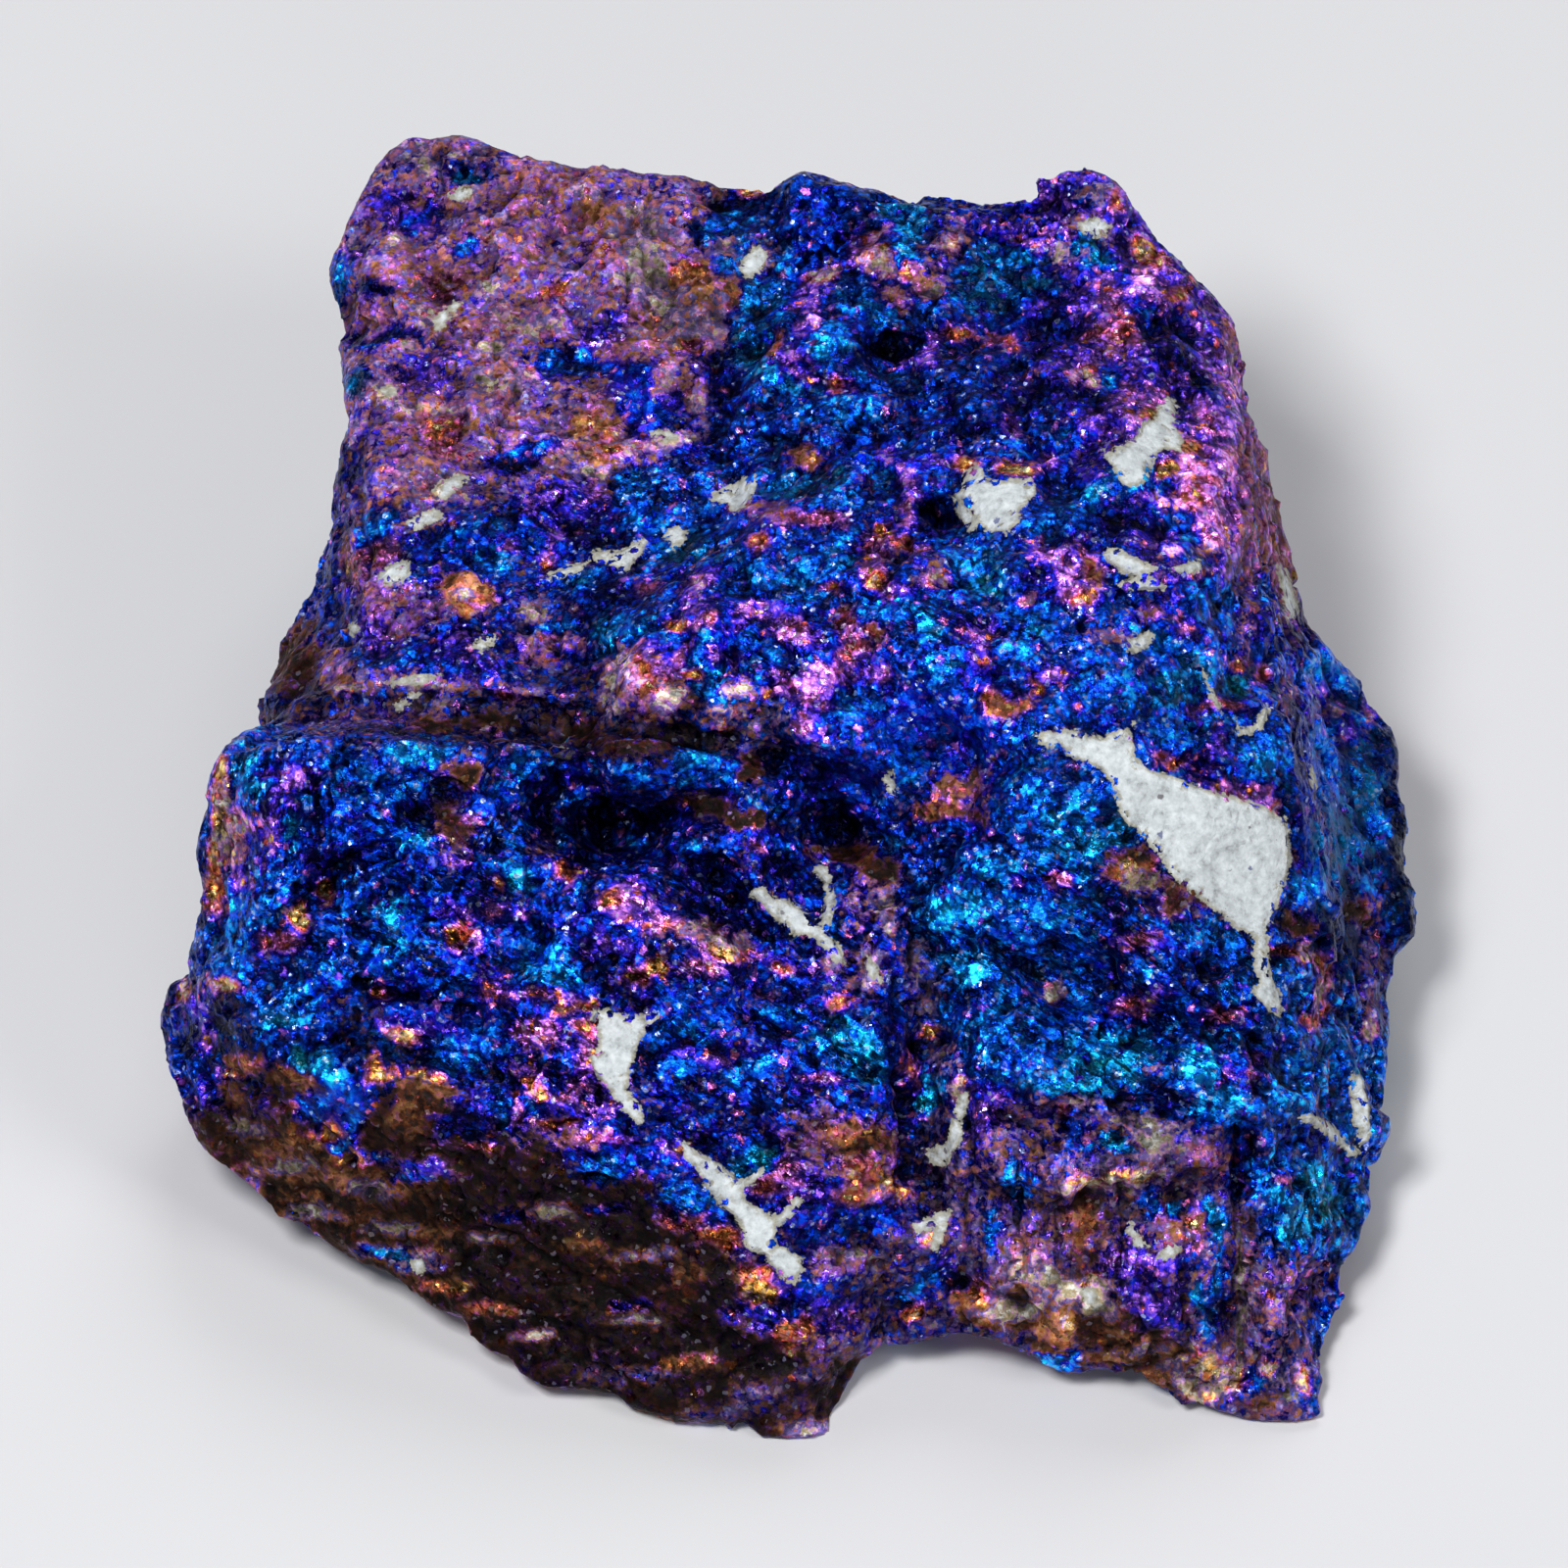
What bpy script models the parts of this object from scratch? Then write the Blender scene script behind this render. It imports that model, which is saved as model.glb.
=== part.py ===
"""Peacock ore specimen: one broken lump of tarnished copper ore, lying on its flattest face.

Each point of the stone is written in millimetres as (across, up, height). Across and up are where
the point shows in the picture plane of someone who looks down at the stone from the front, and
height is how far it stands above the table. to_world() turns the three into a real position, with
+Z up and the viewer towards -Y.
"""

import math

import bmesh
import bpy
from mathutils import Matrix, Vector, noise
from mathutils.geometry import delaunay_2d_cdt

MM = 0.001
LOOK_DOWN = math.radians(50.0)
VOXEL = 0.5 * MM
SMOOTHING_ROUNDS = 2
SMOOTHING = 0.5
RIM_ALLOWANCE = 0.36
TRIANGLES = 8600
BASE_CUT = 0.35 * MM
BASE_SNAP = 0.06 * MM
WELD = 0.002 * MM

# The outline that the viewer sees, clockwise from the top left corner, with the height of each point
TOP_EDGE = [
    (-15.7, 26.6, 17.5), (-12.4, 26.4, 18.0), (-10.2, 25.5, 18.5), (-8.0, 25.0, 18.8), (-4.0, 24.8, 19.0),
    (-0.8, 24.6, 19.2), (2.4, 24.3, 19.5), (4.0, 23.9, 19.5), (6.0, 23.6, 19.5), (9.3, 23.4, 19.5),
]
TOP_KNOB = [(8.8, 24.2, 20.3), (9.7, 25.6, 20.8), (12.2, 25.4, 20.9), (13.9, 25.0, 20.2), (14.4, 23.6, 19.6)]
RIGHT_SHOULDER = [
    (15.0, 22.4, 19.0), (16.2, 21.4, 18.6), (18.0, 20.0, 17.5), (18.5, 18.2, 16.0), (19.0, 16.0, 15.0),
    (19.6, 12.4, 13.5), (20.0, 10.0, 12.5), (20.5, 8.6, 12.0), (21.0, 7.0, 11.0), (21.4, 5.9, 10.0),
]
RIGHT_BULGE = [
    (22.8, 5.5, 8.5), (24.1, 4.1, 8.0), (24.8, 2.2, 7.5), (25.0, 0.0, 7.0), (25.3, -2.4, 6.5),
    (25.3, -4.4, 6.0), (25.1, -8.0, 5.0), (24.6, -11.2, 4.5), (24.2, -14.4, 4.0), (23.8, -17.2, 3.0),
]
RIGHT_FOOT = [
    (23.2, -19.2, 2.5), (22.6, -22.6, 1.5), (22.1, -23.8, 1.0), (21.9, -25.0, 0.6), (21.2, -26.0, 0.3),
    (19.9, -26.4, 0.0), (18.6, -25.7, 0.6), (17.8, -25.5, 0.7), (16.6, -25.8, 0.3),
]
FRONT_NOTCH = [
    (15.6, -25.1, 1.0), (14.6, -24.2, 1.6), (13.6, -23.4, 2.1), (12.6, -23.5, 2.0), (11.4, -24.0, 1.5),
    (10.4, -23.3, 2.1), (9.4, -22.7, 2.6), (7.6, -22.5, 2.8), (6.0, -22.6, 2.6), (4.6, -23.0, 2.0),
]
FRONT_FOOT = [
    (3.5, -23.3, 1.6), (3.3, -24.2, 1.0), (2.5, -24.8, 0.8), (2.2, -25.4, 0.6), (2.9, -26.1, 0.2),
    (3.1, -27.0, 0.0), (1.8, -27.5, 0.0), (0.2, -27.0, 0.2),
]
LOWER_LEFT_EDGE = [
    (-2.4, -25.6, 0.8), (-4.0, -25.5, 0.8), (-6.0, -25.0, 1.0), (-8.0, -24.4, 1.4), (-9.6, -24.4, 1.3),
    (-11.2, -23.8, 1.5), (-12.8, -22.6, 2.0), (-14.4, -21.0, 2.4), (-16.0, -19.9, 2.6), (-19.2, -18.2, 3.0),
    (-20.8, -17.5, 3.0), (-22.2, -16.2, 3.5), (-23.6, -14.6, 4.2), (-24.2, -13.4, 4.8), (-24.8, -12.0, 5.4),
]
LEFT_EDGE = [
    (-25.3, -10.6, 6.2), (-25.2, -9.2, 7.0), (-24.8, -8.0, 8.2), (-24.3, -7.4, 9.0), (-24.0, -5.4, 10.5),
    (-23.8, -3.2, 12.2), (-23.5, -0.8, 14.6), (-23.0, 1.2, 16.8),
]
LEFT_WAIST = [
    (-21.8, 2.2, 16.6), (-21.0, 2.8, 13.0), (-20.8, 4.2, 10.5), (-20.4, 5.8, 10.5), (-19.8, 7.2, 11.5),
    (-19.0, 8.1, 13.0), (-18.3, 10.4, 14.5), (-18.0, 12.4, 15.5), (-17.8, 14.8, 16.3), (-17.9, 16.6, 16.0),
    (-18.3, 18.0, 14.8), (-18.6, 20.0, 14.6), (-18.6, 21.2, 15.0), (-18.0, 22.6, 16.0), (-17.4, 24.4, 17.0),
    (-16.6, 25.6, 17.3),
]
OUTLINE = (
    TOP_EDGE + TOP_KNOB + RIGHT_SHOULDER + RIGHT_BULGE + RIGHT_FOOT + FRONT_NOTCH
    + FRONT_FOOT + LOWER_LEFT_EDGE + LEFT_EDGE + LEFT_WAIST
)

# Break lines on the side that the viewer sees, which stay sharp edges of the rough shape
SEEN_LINES = {
    "block_lip": [
        (-22.4, 1.3, 17.6), (-20.0, 1.7, 18.6), (-16.0, 1.9, 19.1), (-12.0, 1.8, 19.3), (-8.0, 1.5, 19.2),
        (-4.0, 1.1, 18.9), (-1.0, 0.6, 18.1), (1.5, -0.2, 16.9),
    ],
    "groove": [
        (-20.8, 2.5, 14.2), (-18.0, 2.6, 15.4), (-14.0, 2.8, 15.2), (-10.0, 2.6, 15.0), (-6.0, 2.2, 15.2),
        (-2.0, 1.7, 16.0), (1.2, 0.8, 16.6),
    ],
    "upper_face_foot": [
        (-17.8, 4.0, 16.6), (-14.0, 3.9, 17.5), (-10.0, 3.6, 17.8), (-6.6, 3.0, 18.4), (-3.0, 2.5, 19.0),
        (0.0, 2.1, 19.3), (2.6, 1.5, 19.2),
    ],
    "upper_face_left": [
        (-17.2, 5.6, 16.6), (-16.9, 8.6, 17.1), (-16.8, 12.4, 17.4), (-16.7, 16.0, 17.5), (-16.8, 20.0, 17.5),
        (-16.2, 23.6, 17.6),
    ],
    "diagonal_step_foot": [
        (-8.6, 5.3, 17.5), (-5.6, 8.4, 17.6), (-3.0, 10.8, 17.9), (-0.6, 13.4, 18.3), (0.2, 15.8, 18.4),
    ],
    "diagonal_step_crest": [
        (-6.6, 4.4, 19.4), (-4.0, 7.0, 19.7), (-2.0, 9.2, 20.1), (0.6, 11.4, 20.7), (2.6, 13.0, 21.0),
    ],
    "right_ridge": [
        (16.6, 20.4, 18.6), (17.8, 18.2, 18.4), (18.3, 15.0, 18.5), (18.9, 11.0, 18.6), (19.6, 8.0, 18.1),
        (20.2, 5.0, 17.5), (20.8, 2.0, 16.9), (21.2, -1.0, 15.8), (21.5, -4.0, 13.9), (21.3, -7.0, 11.9),
        (21.6, -10.0, 9.9), (22.4, -13.0, 7.6),
    ],
    "brown_face_ridge": [
        (-24.2, -8.8, 8.9), (-21.6, -11.0, 10.4), (-18.6, -12.2, 11.0), (-15.4, -12.6, 11.2), (-11.2, -14.2, 10.8),
        (-6.8, -15.8, 9.8), (-4.0, -18.0, 8.2), (-2.2, -20.6, 6.2), (-0.4, -22.8, 4.3), (1.2, -24.8, 2.3),
    ],
    "middle_crack_left": [(4.4, -7.6, 14.2), (4.5, -10.0, 12.9), (4.6, -13.0, 11.0), (4.8, -16.0, 8.9)],
    "middle_crack_right": [(5.3, -7.8, 12.9), (5.4, -10.2, 11.2), (5.5, -13.0, 9.3), (5.6, -16.0, 7.8)],
    "recess_brow": [(12.8, -5.6, 15.9), (14.4, -7.0, 15.3), (16.4, -8.6, 14.4), (18.6, -10.2, 12.9)],
    "recess_floor": [(12.4, -7.6, 13.2), (14.0, -8.8, 12.7), (16.0, -9.8, 12.3), (18.0, -11.0, 11.5)],
    "shelf_edge": [(8.4, -11.9, 12.4), (10.8, -12.4, 12.1), (13.4, -12.6, 11.9), (17.0, -12.6, 11.6)],
    "under_shelf": [(8.8, -12.9, 10.7), (11.0, -13.4, 10.3), (13.6, -13.8, 9.9), (17.0, -13.8, 9.9)],
    "ledge_edge": [(8.0, -15.5, 9.9), (11.0, -15.9, 9.7), (14.4, -15.6, 9.8), (17.4, -15.0, 9.8)],
    "under_ledge": [(8.4, -16.5, 8.2), (11.4, -17.0, 7.8), (14.4, -16.8, 7.9), (17.2, -16.2, 8.2)],
    "slab_crack": [(18.4, -15.0, 8.6), (18.5, -19.0, 5.9), (18.6, -22.8, 3.0)],
    "slab_ridge": [(19.6, -14.0, 10.2), (20.2, -18.0, 7.0), (20.2, -22.0, 3.9)],
}

# Single points that lift, dish or tilt the ground between the break lines
SEEN_POINTS = {
    "upper_left_face": [
        (-12.0, 8.0, 17.4), (-12.6, 14.0, 17.2), (-12.0, 20.0, 17.6), (-6.0, 20.0, 18.3), (-8.0, 14.0, 17.5),
        (-8.6, 8.6, 17.4), (-5.0, 12.0, 17.5), (-2.2, 16.6, 18.2), (-2.2, 21.4, 18.8),
    ],
    "raised_mass": [
        (6.0, 8.0, 21.8), (10.0, 10.4, 22.3), (14.0, 12.0, 21.9), (16.2, 8.0, 21.2), (12.0, 5.0, 21.5),
        (6.6, 4.0, 21.0), (2.0, 5.4, 20.5), (9.0, 14.6, 21.5), (14.0, 16.0, 20.9), (16.4, 13.6, 20.2),
        (12.0, 24.3, 21.0), (15.4, 18.6, 19.5), (10.0, 19.0, 20.4), (5.0, 18.8, 20.1), (1.4, 18.4, 19.9), (3.9, 16.4, 19.5),
        (1.0, 21.4, 19.3), (6.6, 21.8, 19.6), (11.8, 22.2, 20.1), (-1.6, 5.4, 19.9),
    ],
    "quartz_ground": [(11.0, 1.6, 20.4), (14.0, 0.4, 19.8), (17.4, -0.6, 18.4), (19.6, -1.6, 16.8), (19.4, -5.6, 14.0)],
    "hollow_middle": [(5.4, 0.6, 18.9), (2.2, -1.8, 15.6), (5.4, -2.9, 15.8), (7.6, -3.6, 16.4), (10.4, -2.4, 18.0)],
    "pocket": [(-9.0, -0.6, 15.6), (-7.2, -1.8, 14.0), (-5.2, -1.4, 14.9), (-7.2, -3.6, 16.2), (-4.6, -3.8, 15.8)],
    "left_block": [
        (-20.0, -2.2, 16.8), (-16.0, -3.0, 16.4), (-12.4, -3.0, 16.3), (-21.4, -5.6, 14.0), (-16.0, -6.6, 14.0),
        (-11.6, -7.2, 14.0), (-8.2, -6.0, 15.0), (-22.2, -7.8, 11.9), (-17.6, -9.6, 11.9), (-13.6, -10.6, 11.8),
        (-9.6, -11.0, 12.0),
    ],
    "lower_middle": [
        (-5.0, -7.6, 14.2), (-5.8, -11.8, 11.8), (-2.0, -10.2, 13.0), (-2.8, -14.2, 10.5), (-1.2, -6.0, 15.0),
        (2.0, -8.4, 13.9), (1.4, -12.4, 11.9), (1.2, -16.4, 9.1), (-1.8, -18.0, 7.8), (1.8, -20.2, 6.4),
        (3.6, -18.6, 7.2), (2.4, -23.0, 4.2),
    ],
    "lower_right": [
        (8.0, -6.4, 14.2), (10.8, -5.4, 15.4), (8.2, -9.6, 13.0), (11.6, -10.0, 12.8), (7.0, -13.4, 10.2),
        (8.0, -18.6, 7.0), (12.0, -19.6, 6.4), (15.6, -19.6, 6.5), (14.6, -22.0, 4.2), (17.0, -22.8, 3.6),
        (8.6, -20.9, 5.0), (11.2, -21.8, 4.4), (22.0, -17.0, 5.0), (21.6, -21.0, 3.0),
    ],
    "bulge": [(22.6, 2.2, 9.9), (23.4, -1.0, 9.3), (23.5, -5.0, 8.5), (23.4, -9.0, 7.4)],
    "brown_face": [(-18.2, -15.8, 6.6), (-12.0, -18.4, 6.0), (-8.0, -20.2, 5.2), (-4.4, -22.8, 3.3)],
}

# The hidden side, as (x, y) on the table and (x, y, height) above it
FOOTPRINT = [
    (1.0, -34.0), (-5.0, -32.0), (-11.0, -29.5), (-16.0, -25.0), (-20.0, -20.0), (-21.5, -13.0), (-19.5, -5.0),
    (-17.5, 3.0), (-16.0, 12.0), (-13.0, 19.0), (-5.0, 21.0), (4.0, 20.5), (12.0, 18.0), (16.5, 11.0),
    (19.0, 2.0), (22.0, -7.0), (22.0, -17.0), (20.5, -27.0), (19.5, -33.0), (15.4, -30.4), (12.0, -28.5),
    (6.6, -28.2), (3.2, -29.4), (2.4, -31.0),
]
BACK_POINTS = [
    (-14.0, 21.5, 10.0), (-9.0, 23.0, 6.0), (-4.0, 23.0, 9.0), (5.0, 21.6, 9.0), (9.0, 21.0, 5.0),
    (13.0, 18.5, 8.0), (17.4, 11.6, 7.5), (-17.4, 9.0, 5.5), (-18.6, -1.0, 4.5),
]

# Hollows and lumps of a few millimetres, as (across, up, half width, half height, depth)
HOLLOWS = [
    (-7.2, -1.7, 2.5, 1.6, 1.9), (-3.2, -1.4, 1.9, 0.9, 0.7), (2.6, -2.2, 1.5, 1.0, 0.8), (-3.4, -3.6, 1.1, 1.2, 0.8),
    (1.2, -3.9, 0.7, 0.7, 0.7), (6.4, 11.0, 0.8, 1.0, 1.7), (4.4, 17.8, 1.4, 1.2, 1.3), (10.0, 18.0, 3.2, 2.2, 1.1),
    (16.5, 17.0, 1.3, 1.9, 0.9), (-13.6, -0.7, 0.9, 0.8, 0.7), (-17.0, -8.5, 1.3, 0.6, 0.6), (-12.8, -9.4, 1.6, 0.5, 0.5),
    (20.8, -6.0, 1.0, 0.8, 0.6), (6.2, -10.4, 0.6, 0.6, 0.6), (7.2, -20.4, 0.8, 0.7, 0.8), (12.3, -19.6, 0.7, 0.7, 0.6),
    (14.7, -12.9, 1.3, 0.5, 0.7), (-8.2, 17.6, 1.6, 1.0, 0.3), (-7.6, 10.4, 2.0, 1.4, 0.4), (9.4, 3.4, 0.9, 0.7, 0.4),
]
LUMPS = [
    (1.4, 18.4, 1.9, 1.8, 1.0), (-4.0, 3.9, 2.6, 1.0, 0.6), (-3.2, 7.0, 1.0, 1.3, 0.5), (-15.0, -7.2, 2.8, 1.1, 0.7),
    (4.8, 21.4, 1.8, 1.2, 0.7), (15.6, 20.4, 2.2, 1.4, 0.6), (17.0, 12.4, 1.3, 2.4, 0.7), (14.8, 13.8, 1.4, 1.6, 0.5),
    (9.0, 11.6, 1.6, 1.3, 0.6), (1.0, 1.6, 1.8, 1.2, 0.6), (-20.2, -1.0, 1.6, 2.2, 0.5), (6.0, 5.6, 1.8, 1.4, 0.4),
    (2.8, -14.0, 1.2, 2.6, 0.4), (23.0, 3.0, 1.6, 1.6, 0.5), (11.2, -22.2, 0.9, 1.3, 0.8), (-10.0, -8.6, 2.2, 1.4, 0.5),
]

# Long clefts and, where the depth is negative, ribs: (across, up) at both ends, half width, depth
STROKES = [
    (3.2, 4.2, 8.2, 0.2, 1.4, 0.9), (12.6, 11.2, 16.2, 9.6, 0.8, 0.6), (10.0, 10.0, 13.2, 9.7, 0.7, 0.5),
    (-18.8, -4.0, -16.2, -2.6, 0.7, 0.6), (-23.2, -1.4, -23.2, -7.0, 0.6, 0.4), (-7.4, -4.6, -2.4, -6.8, 0.8, -0.5),
    (-2.4, -3.8, -0.6, -6.2, 0.9, 0.6), (4.9, -10.6, 5.0, -12.9, 0.6, 0.9), (16.2, -16.2, 16.3, -21.6, 0.5, 0.4),
    (9.6, -17.2, 9.7, -21.2, 0.6, 0.4), (13.8, -17.4, 13.9, -20.6, 0.6, 0.4), (-21.2, -12.2, -12.0, -15.8, 0.6, 0.3),
    (-16.0, -17.4, -4.8, -21.4, 0.6, 0.3), (5.4, 6.6, 8.6, 8.8, 0.7, 0.5), (-0.4, -8.4, 3.4, -12.2, 0.7, 0.4),
    (-9.8, -12.6, -2.6, -16.2, 0.6, -0.4), (11.0, 6.6, 16.4, 5.2, 0.6, 0.4), (-2.0, 19.4, 1.8, 22.0, 0.7, 0.4),
    (18.6, 13.6, 17.6, 8.4, 0.5, 0.3), (8.6, -6.4, 11.0, -8.4, 0.7, 0.5), (-20.6, -8.2, -18.6, -6.2, 0.6, 0.4),
]

# Broken chips that cover the stone on every side, as (cell size, height of the chips)
CHIPS = [(8.0 * MM, 0.8 * MM), (4.0 * MM, 0.5 * MM), (2.2 * MM, 0.26 * MM)]
CHIP_EDGE = 0.08
SEEN_CHIPS = 0.75
OUTLINE_CHIPS = 0.3
OUTLINE_BAND = 0.45
CELL_SPREAD = 97.0
HALF = Vector((0.5, 0.5, 0.5))
# Even ground, where the chips are low: (across, up, half width, half height, share of the chips left)
EVEN_GROUND = [
    (-11.0, 14.0, 7.5, 12.0, 0.4), (-16.0, 7.0, 5.0, 4.0, 0.5), (18.0, -1.8, 4.6, 5.0, 0.15),
    (13.6, 1.4, 2.6, 1.4, 0.15), (-10.0, -17.5, 8.0, 4.5, 0.5), (-19.0, -13.4, 4.5, 3.5, 0.6), (-15.0, -7.4, 3.0, 1.4, 0.2),
]
ROLL_SIZE = 14.0 * MM
ROLL_HEIGHT = 0.5 * MM
BASE_CALM = 1.5 * MM

ORE_COLOUR = (0.07, 0.09, 0.36, 1.0)
ORE_ROUGHNESS = 0.34
ORE_METALLIC = 0.85

TOWARDS_VIEWER = Vector((0.0, -math.cos(LOOK_DOWN), math.sin(LOOK_DOWN)))
PICTURE_UP = Vector((0.0, math.sin(LOOK_DOWN), math.cos(LOOK_DOWN)))


def to_world(point):
    """The real position of an (across, up, height) point, in metres."""
    across, up, height = point
    y = (up - height * math.cos(LOOK_DOWN)) / math.sin(LOOK_DOWN)
    return Vector((across, y, height)) * MM


def to_picture(point):
    """(across, up) in millimetres of a real position."""
    return Vector((point.x, point.dot(PICTURE_UP))) / MM


def widened(outline, allowance):
    """The outline moved outwards in the picture plane, for what the eased edges take off it."""
    made = []
    for i, (across, up, height) in enumerate(outline):
        before, after = outline[i - 1], outline[(i + 1) % len(outline)]
        out = Vector((before[1] - after[1], after[0] - before[0])).normalized()
        made.append((across + out.x * allowance, up + out.y * allowance, height))
    return made


def sheet(rim, lines, loose):
    """Triangles over the rim, the lines and the loose points, laid out as the viewer sees them."""
    points = [*rim]
    edges = []
    for line in lines:
        first = len(points)
        points += line
        edges += [(i, i + 1) for i in range(first, len(points) - 1)]
    points += loose
    flat = [to_picture(p) for p in points]
    inside_of_outline = 1
    made = delaunay_2d_cdt(flat, edges, [list(range(len(rim)))], inside_of_outline, 0.001)
    places, _, faces, origins = made[:4]
    kept = [points[o[0]] if o else None for o in origins]
    if None in kept:
        raise ValueError("two break lines cross at " + str(places[kept.index(None)]))
    return kept, faces


def rough_shape():
    """The stone as a closed shell of flat facets: the seen sheet and the hidden one, joined at the outline."""
    rim = [to_world(p) for p in widened(OUTLINE, RIM_ALLOWANCE)]
    seen = sheet(
        rim,
        [[to_world(p) for p in line] for line in SEEN_LINES.values()],
        [to_world(p) for group in SEEN_POINTS.values() for p in group],
    )
    footprint = [Vector((x, y, 0.0)) * MM for x, y in FOOTPRINT]
    hidden = sheet(rim, [footprint + footprint[:1]], [Vector(p) * MM for p in BACK_POINTS])
    shell = bmesh.new()
    for points, faces in (seen, hidden):
        corners = [shell.verts.new(p) for p in points]
        for face in faces:
            shell.faces.new([corners[i] for i in face])
    bmesh.ops.remove_doubles(shell, verts=shell.verts, dist=WELD)
    bmesh.ops.recalc_face_normals(shell, faces=shell.faces)
    mesh = bpy.data.meshes.new("rough_shape")
    shell.to_mesh(mesh)
    shell.free()
    return mesh


def evaluated(obj):
    """The object's mesh with its modifiers applied."""
    graph = bpy.context.evaluated_depsgraph_get()
    return bpy.data.meshes.new_from_object(obj.evaluated_get(graph))


def remeshed(mesh):
    """An even, closed mesh of the same form, with its knife edges eased."""
    obj = bpy.data.objects.new("rough_stone", mesh)
    bpy.context.collection.objects.link(obj)
    remesh = obj.modifiers.new("even_mesh", "REMESH")
    remesh.mode = "VOXEL"
    remesh.voxel_size = VOXEL
    smooth = obj.modifiers.new("eased_edges", "SMOOTH")
    smooth.factor = SMOOTHING
    smooth.iterations = SMOOTHING_ROUNDS
    made = evaluated(obj)
    bpy.data.objects.remove(obj)
    return made


def bump(place, feature):
    """How strongly a round feature acts at a place of the picture plane, from 0 to 1."""
    across, up, half_width, half_height = feature[:4]
    reach = math.hypot((place.x - across) / half_width, (place.y - up) / half_height)
    return max(0.0, 1.0 - reach * reach * 0.5) ** 2 if reach < math.sqrt(2) else 0.0


def along(place, stroke):
    """How strongly a long cleft or rib acts at a place of the picture plane, from 0 to 1."""
    start, end = Vector(stroke[0:2]), Vector(stroke[2:4])
    line = end - start
    share = max(0.0, min(1.0, (place - start).dot(line) / line.length_squared))
    reach = (place - start - line * share).length / stroke[4]
    return max(0.0, 1.0 - reach * reach * 0.5) ** 2 if reach < math.sqrt(2) else 0.0


def chip(point, size):
    """Height from -1 to 1 of a broken chip: each cell is a flat face, tilted its own way."""
    distances, seeds = noise.voronoi(point / size)
    tilt = (noise.cell_vector(seeds[0] * CELL_SPREAD) - HALF).normalized()
    edge = min(1.0, (distances[1] - distances[0]) / CHIP_EDGE)
    return max(-1.0, min(1.0, tilt.dot(point / size - seeds[0]) * 1.6)) * edge


def chip_share(point, normal, facing):
    """How much of the chips a place gets: little at the outline, on even ground and on the base."""
    share = 1.0
    if abs(facing) < OUTLINE_BAND:
        share = OUTLINE_CHIPS + (1.0 - OUTLINE_CHIPS) * abs(facing) / OUTLINE_BAND
    if facing > 0.0:
        place = to_picture(point)
        share *= SEEN_CHIPS
        for ground in EVEN_GROUND:
            share *= 1.0 - (1.0 - ground[4]) * min(1.0, 2.0 * bump(place, ground))
    if normal.z < -0.5:
        share *= min(1.0, max(0.0, point.z / BASE_CALM))
    return share


def carve(mesh):
    """Moves the mesh's points for the hollows, the lumps and the chips."""
    moved = []
    for vertex in mesh.vertices:
        point, normal = vertex.co.copy(), vertex.normal.copy()
        facing = normal.dot(TOWARDS_VIEWER)
        height = ROLL_HEIGHT * noise.noise(point / ROLL_SIZE)
        for size, rise in CHIPS:
            height += rise * chip(point, size)
        shift = normal * height * chip_share(point, normal, facing)
        if facing > 0.0:
            place = to_picture(point)
            depth = sum(h[4] * bump(place, h) for h in HOLLOWS) - sum(k[4] * bump(place, k) for k in LUMPS)
            depth += sum(t[5] * along(place, t) for t in STROKES)
            shift -= TOWARDS_VIEWER * depth * MM * min(1.0, facing * 2.0)
        moved.append(point + shift)
    for vertex, point in zip(mesh.vertices, moved):
        vertex.co = point
    mesh.update()


def thinned(mesh):
    """The same form in about TRIANGLES triangles."""
    obj = bpy.data.objects.new("dense_stone", mesh)
    bpy.context.collection.objects.link(obj)
    split = obj.modifiers.new("triangles", "TRIANGULATE")
    split.quad_method = "SHORTEST_DIAGONAL"
    thin = obj.modifiers.new("thinner", "DECIMATE")
    thin.ratio = TRIANGLES / sum(len(face.vertices) - 2 for face in mesh.polygons)
    thin.use_collapse_triangulate = True
    made = evaluated(obj)
    bpy.data.objects.remove(obj)
    return made


def rest_on_table(mesh, cut, snap):
    """Presses every point under the cut up to it, so that the stone rests on a flat face."""
    for vertex in mesh.vertices:
        if vertex.co.z < cut + snap:
            vertex.co.z = cut
    mesh.update()


def centred(mesh):
    """Puts the origin under the middle of the stone's box, at the table."""
    lows = [min(v.co[i] for v in mesh.vertices) for i in range(3)]
    highs = [max(v.co[i] for v in mesh.vertices) for i in range(3)]
    middle = Vector(((lows[0] + highs[0]) / 2, (lows[1] + highs[1]) / 2, lows[2]))
    mesh.transform(Matrix.Translation(-middle))


def ore_material():
    material = bpy.data.materials.new("tarnished_ore")
    material.use_nodes = True
    surface = material.node_tree.nodes["Principled BSDF"]
    surface.inputs["Base Color"].default_value = ORE_COLOUR
    surface.inputs["Roughness"].default_value = ORE_ROUGHNESS
    surface.inputs["Metallic"].default_value = ORE_METALLIC
    return material


def main():
    for obj in list(bpy.data.objects):
        bpy.data.objects.remove(obj)
    dense = remeshed(rough_shape())
    carve(dense)
    rest_on_table(dense, BASE_CUT, 0.0)
    mesh = thinned(dense)
    rest_on_table(mesh, BASE_CUT, BASE_SNAP)
    centred(mesh)
    mesh.name = "peacock_ore"
    mesh.materials.append(ore_material())
    stone = bpy.data.objects.new("peacock_ore", mesh)
    bpy.context.collection.objects.link(stone)


main()
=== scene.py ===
"""Peacock ore specimen: the tarnished surface of one broken lump of copper ore.

The stone's form comes from its CAD node. Here it gets its grain, its clefts, its white quartz and the
colours of its tarnish, with painted light and shade in their brightness. Places on the seen side are pixels
of the photograph, which looks down at the stone from the front. photo_place() finds the pixel of a point, so
a mark stays on the stone's surface.
"""

import math
from types import SimpleNamespace

import bpy
import numpy as np
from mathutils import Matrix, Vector, noise


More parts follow.
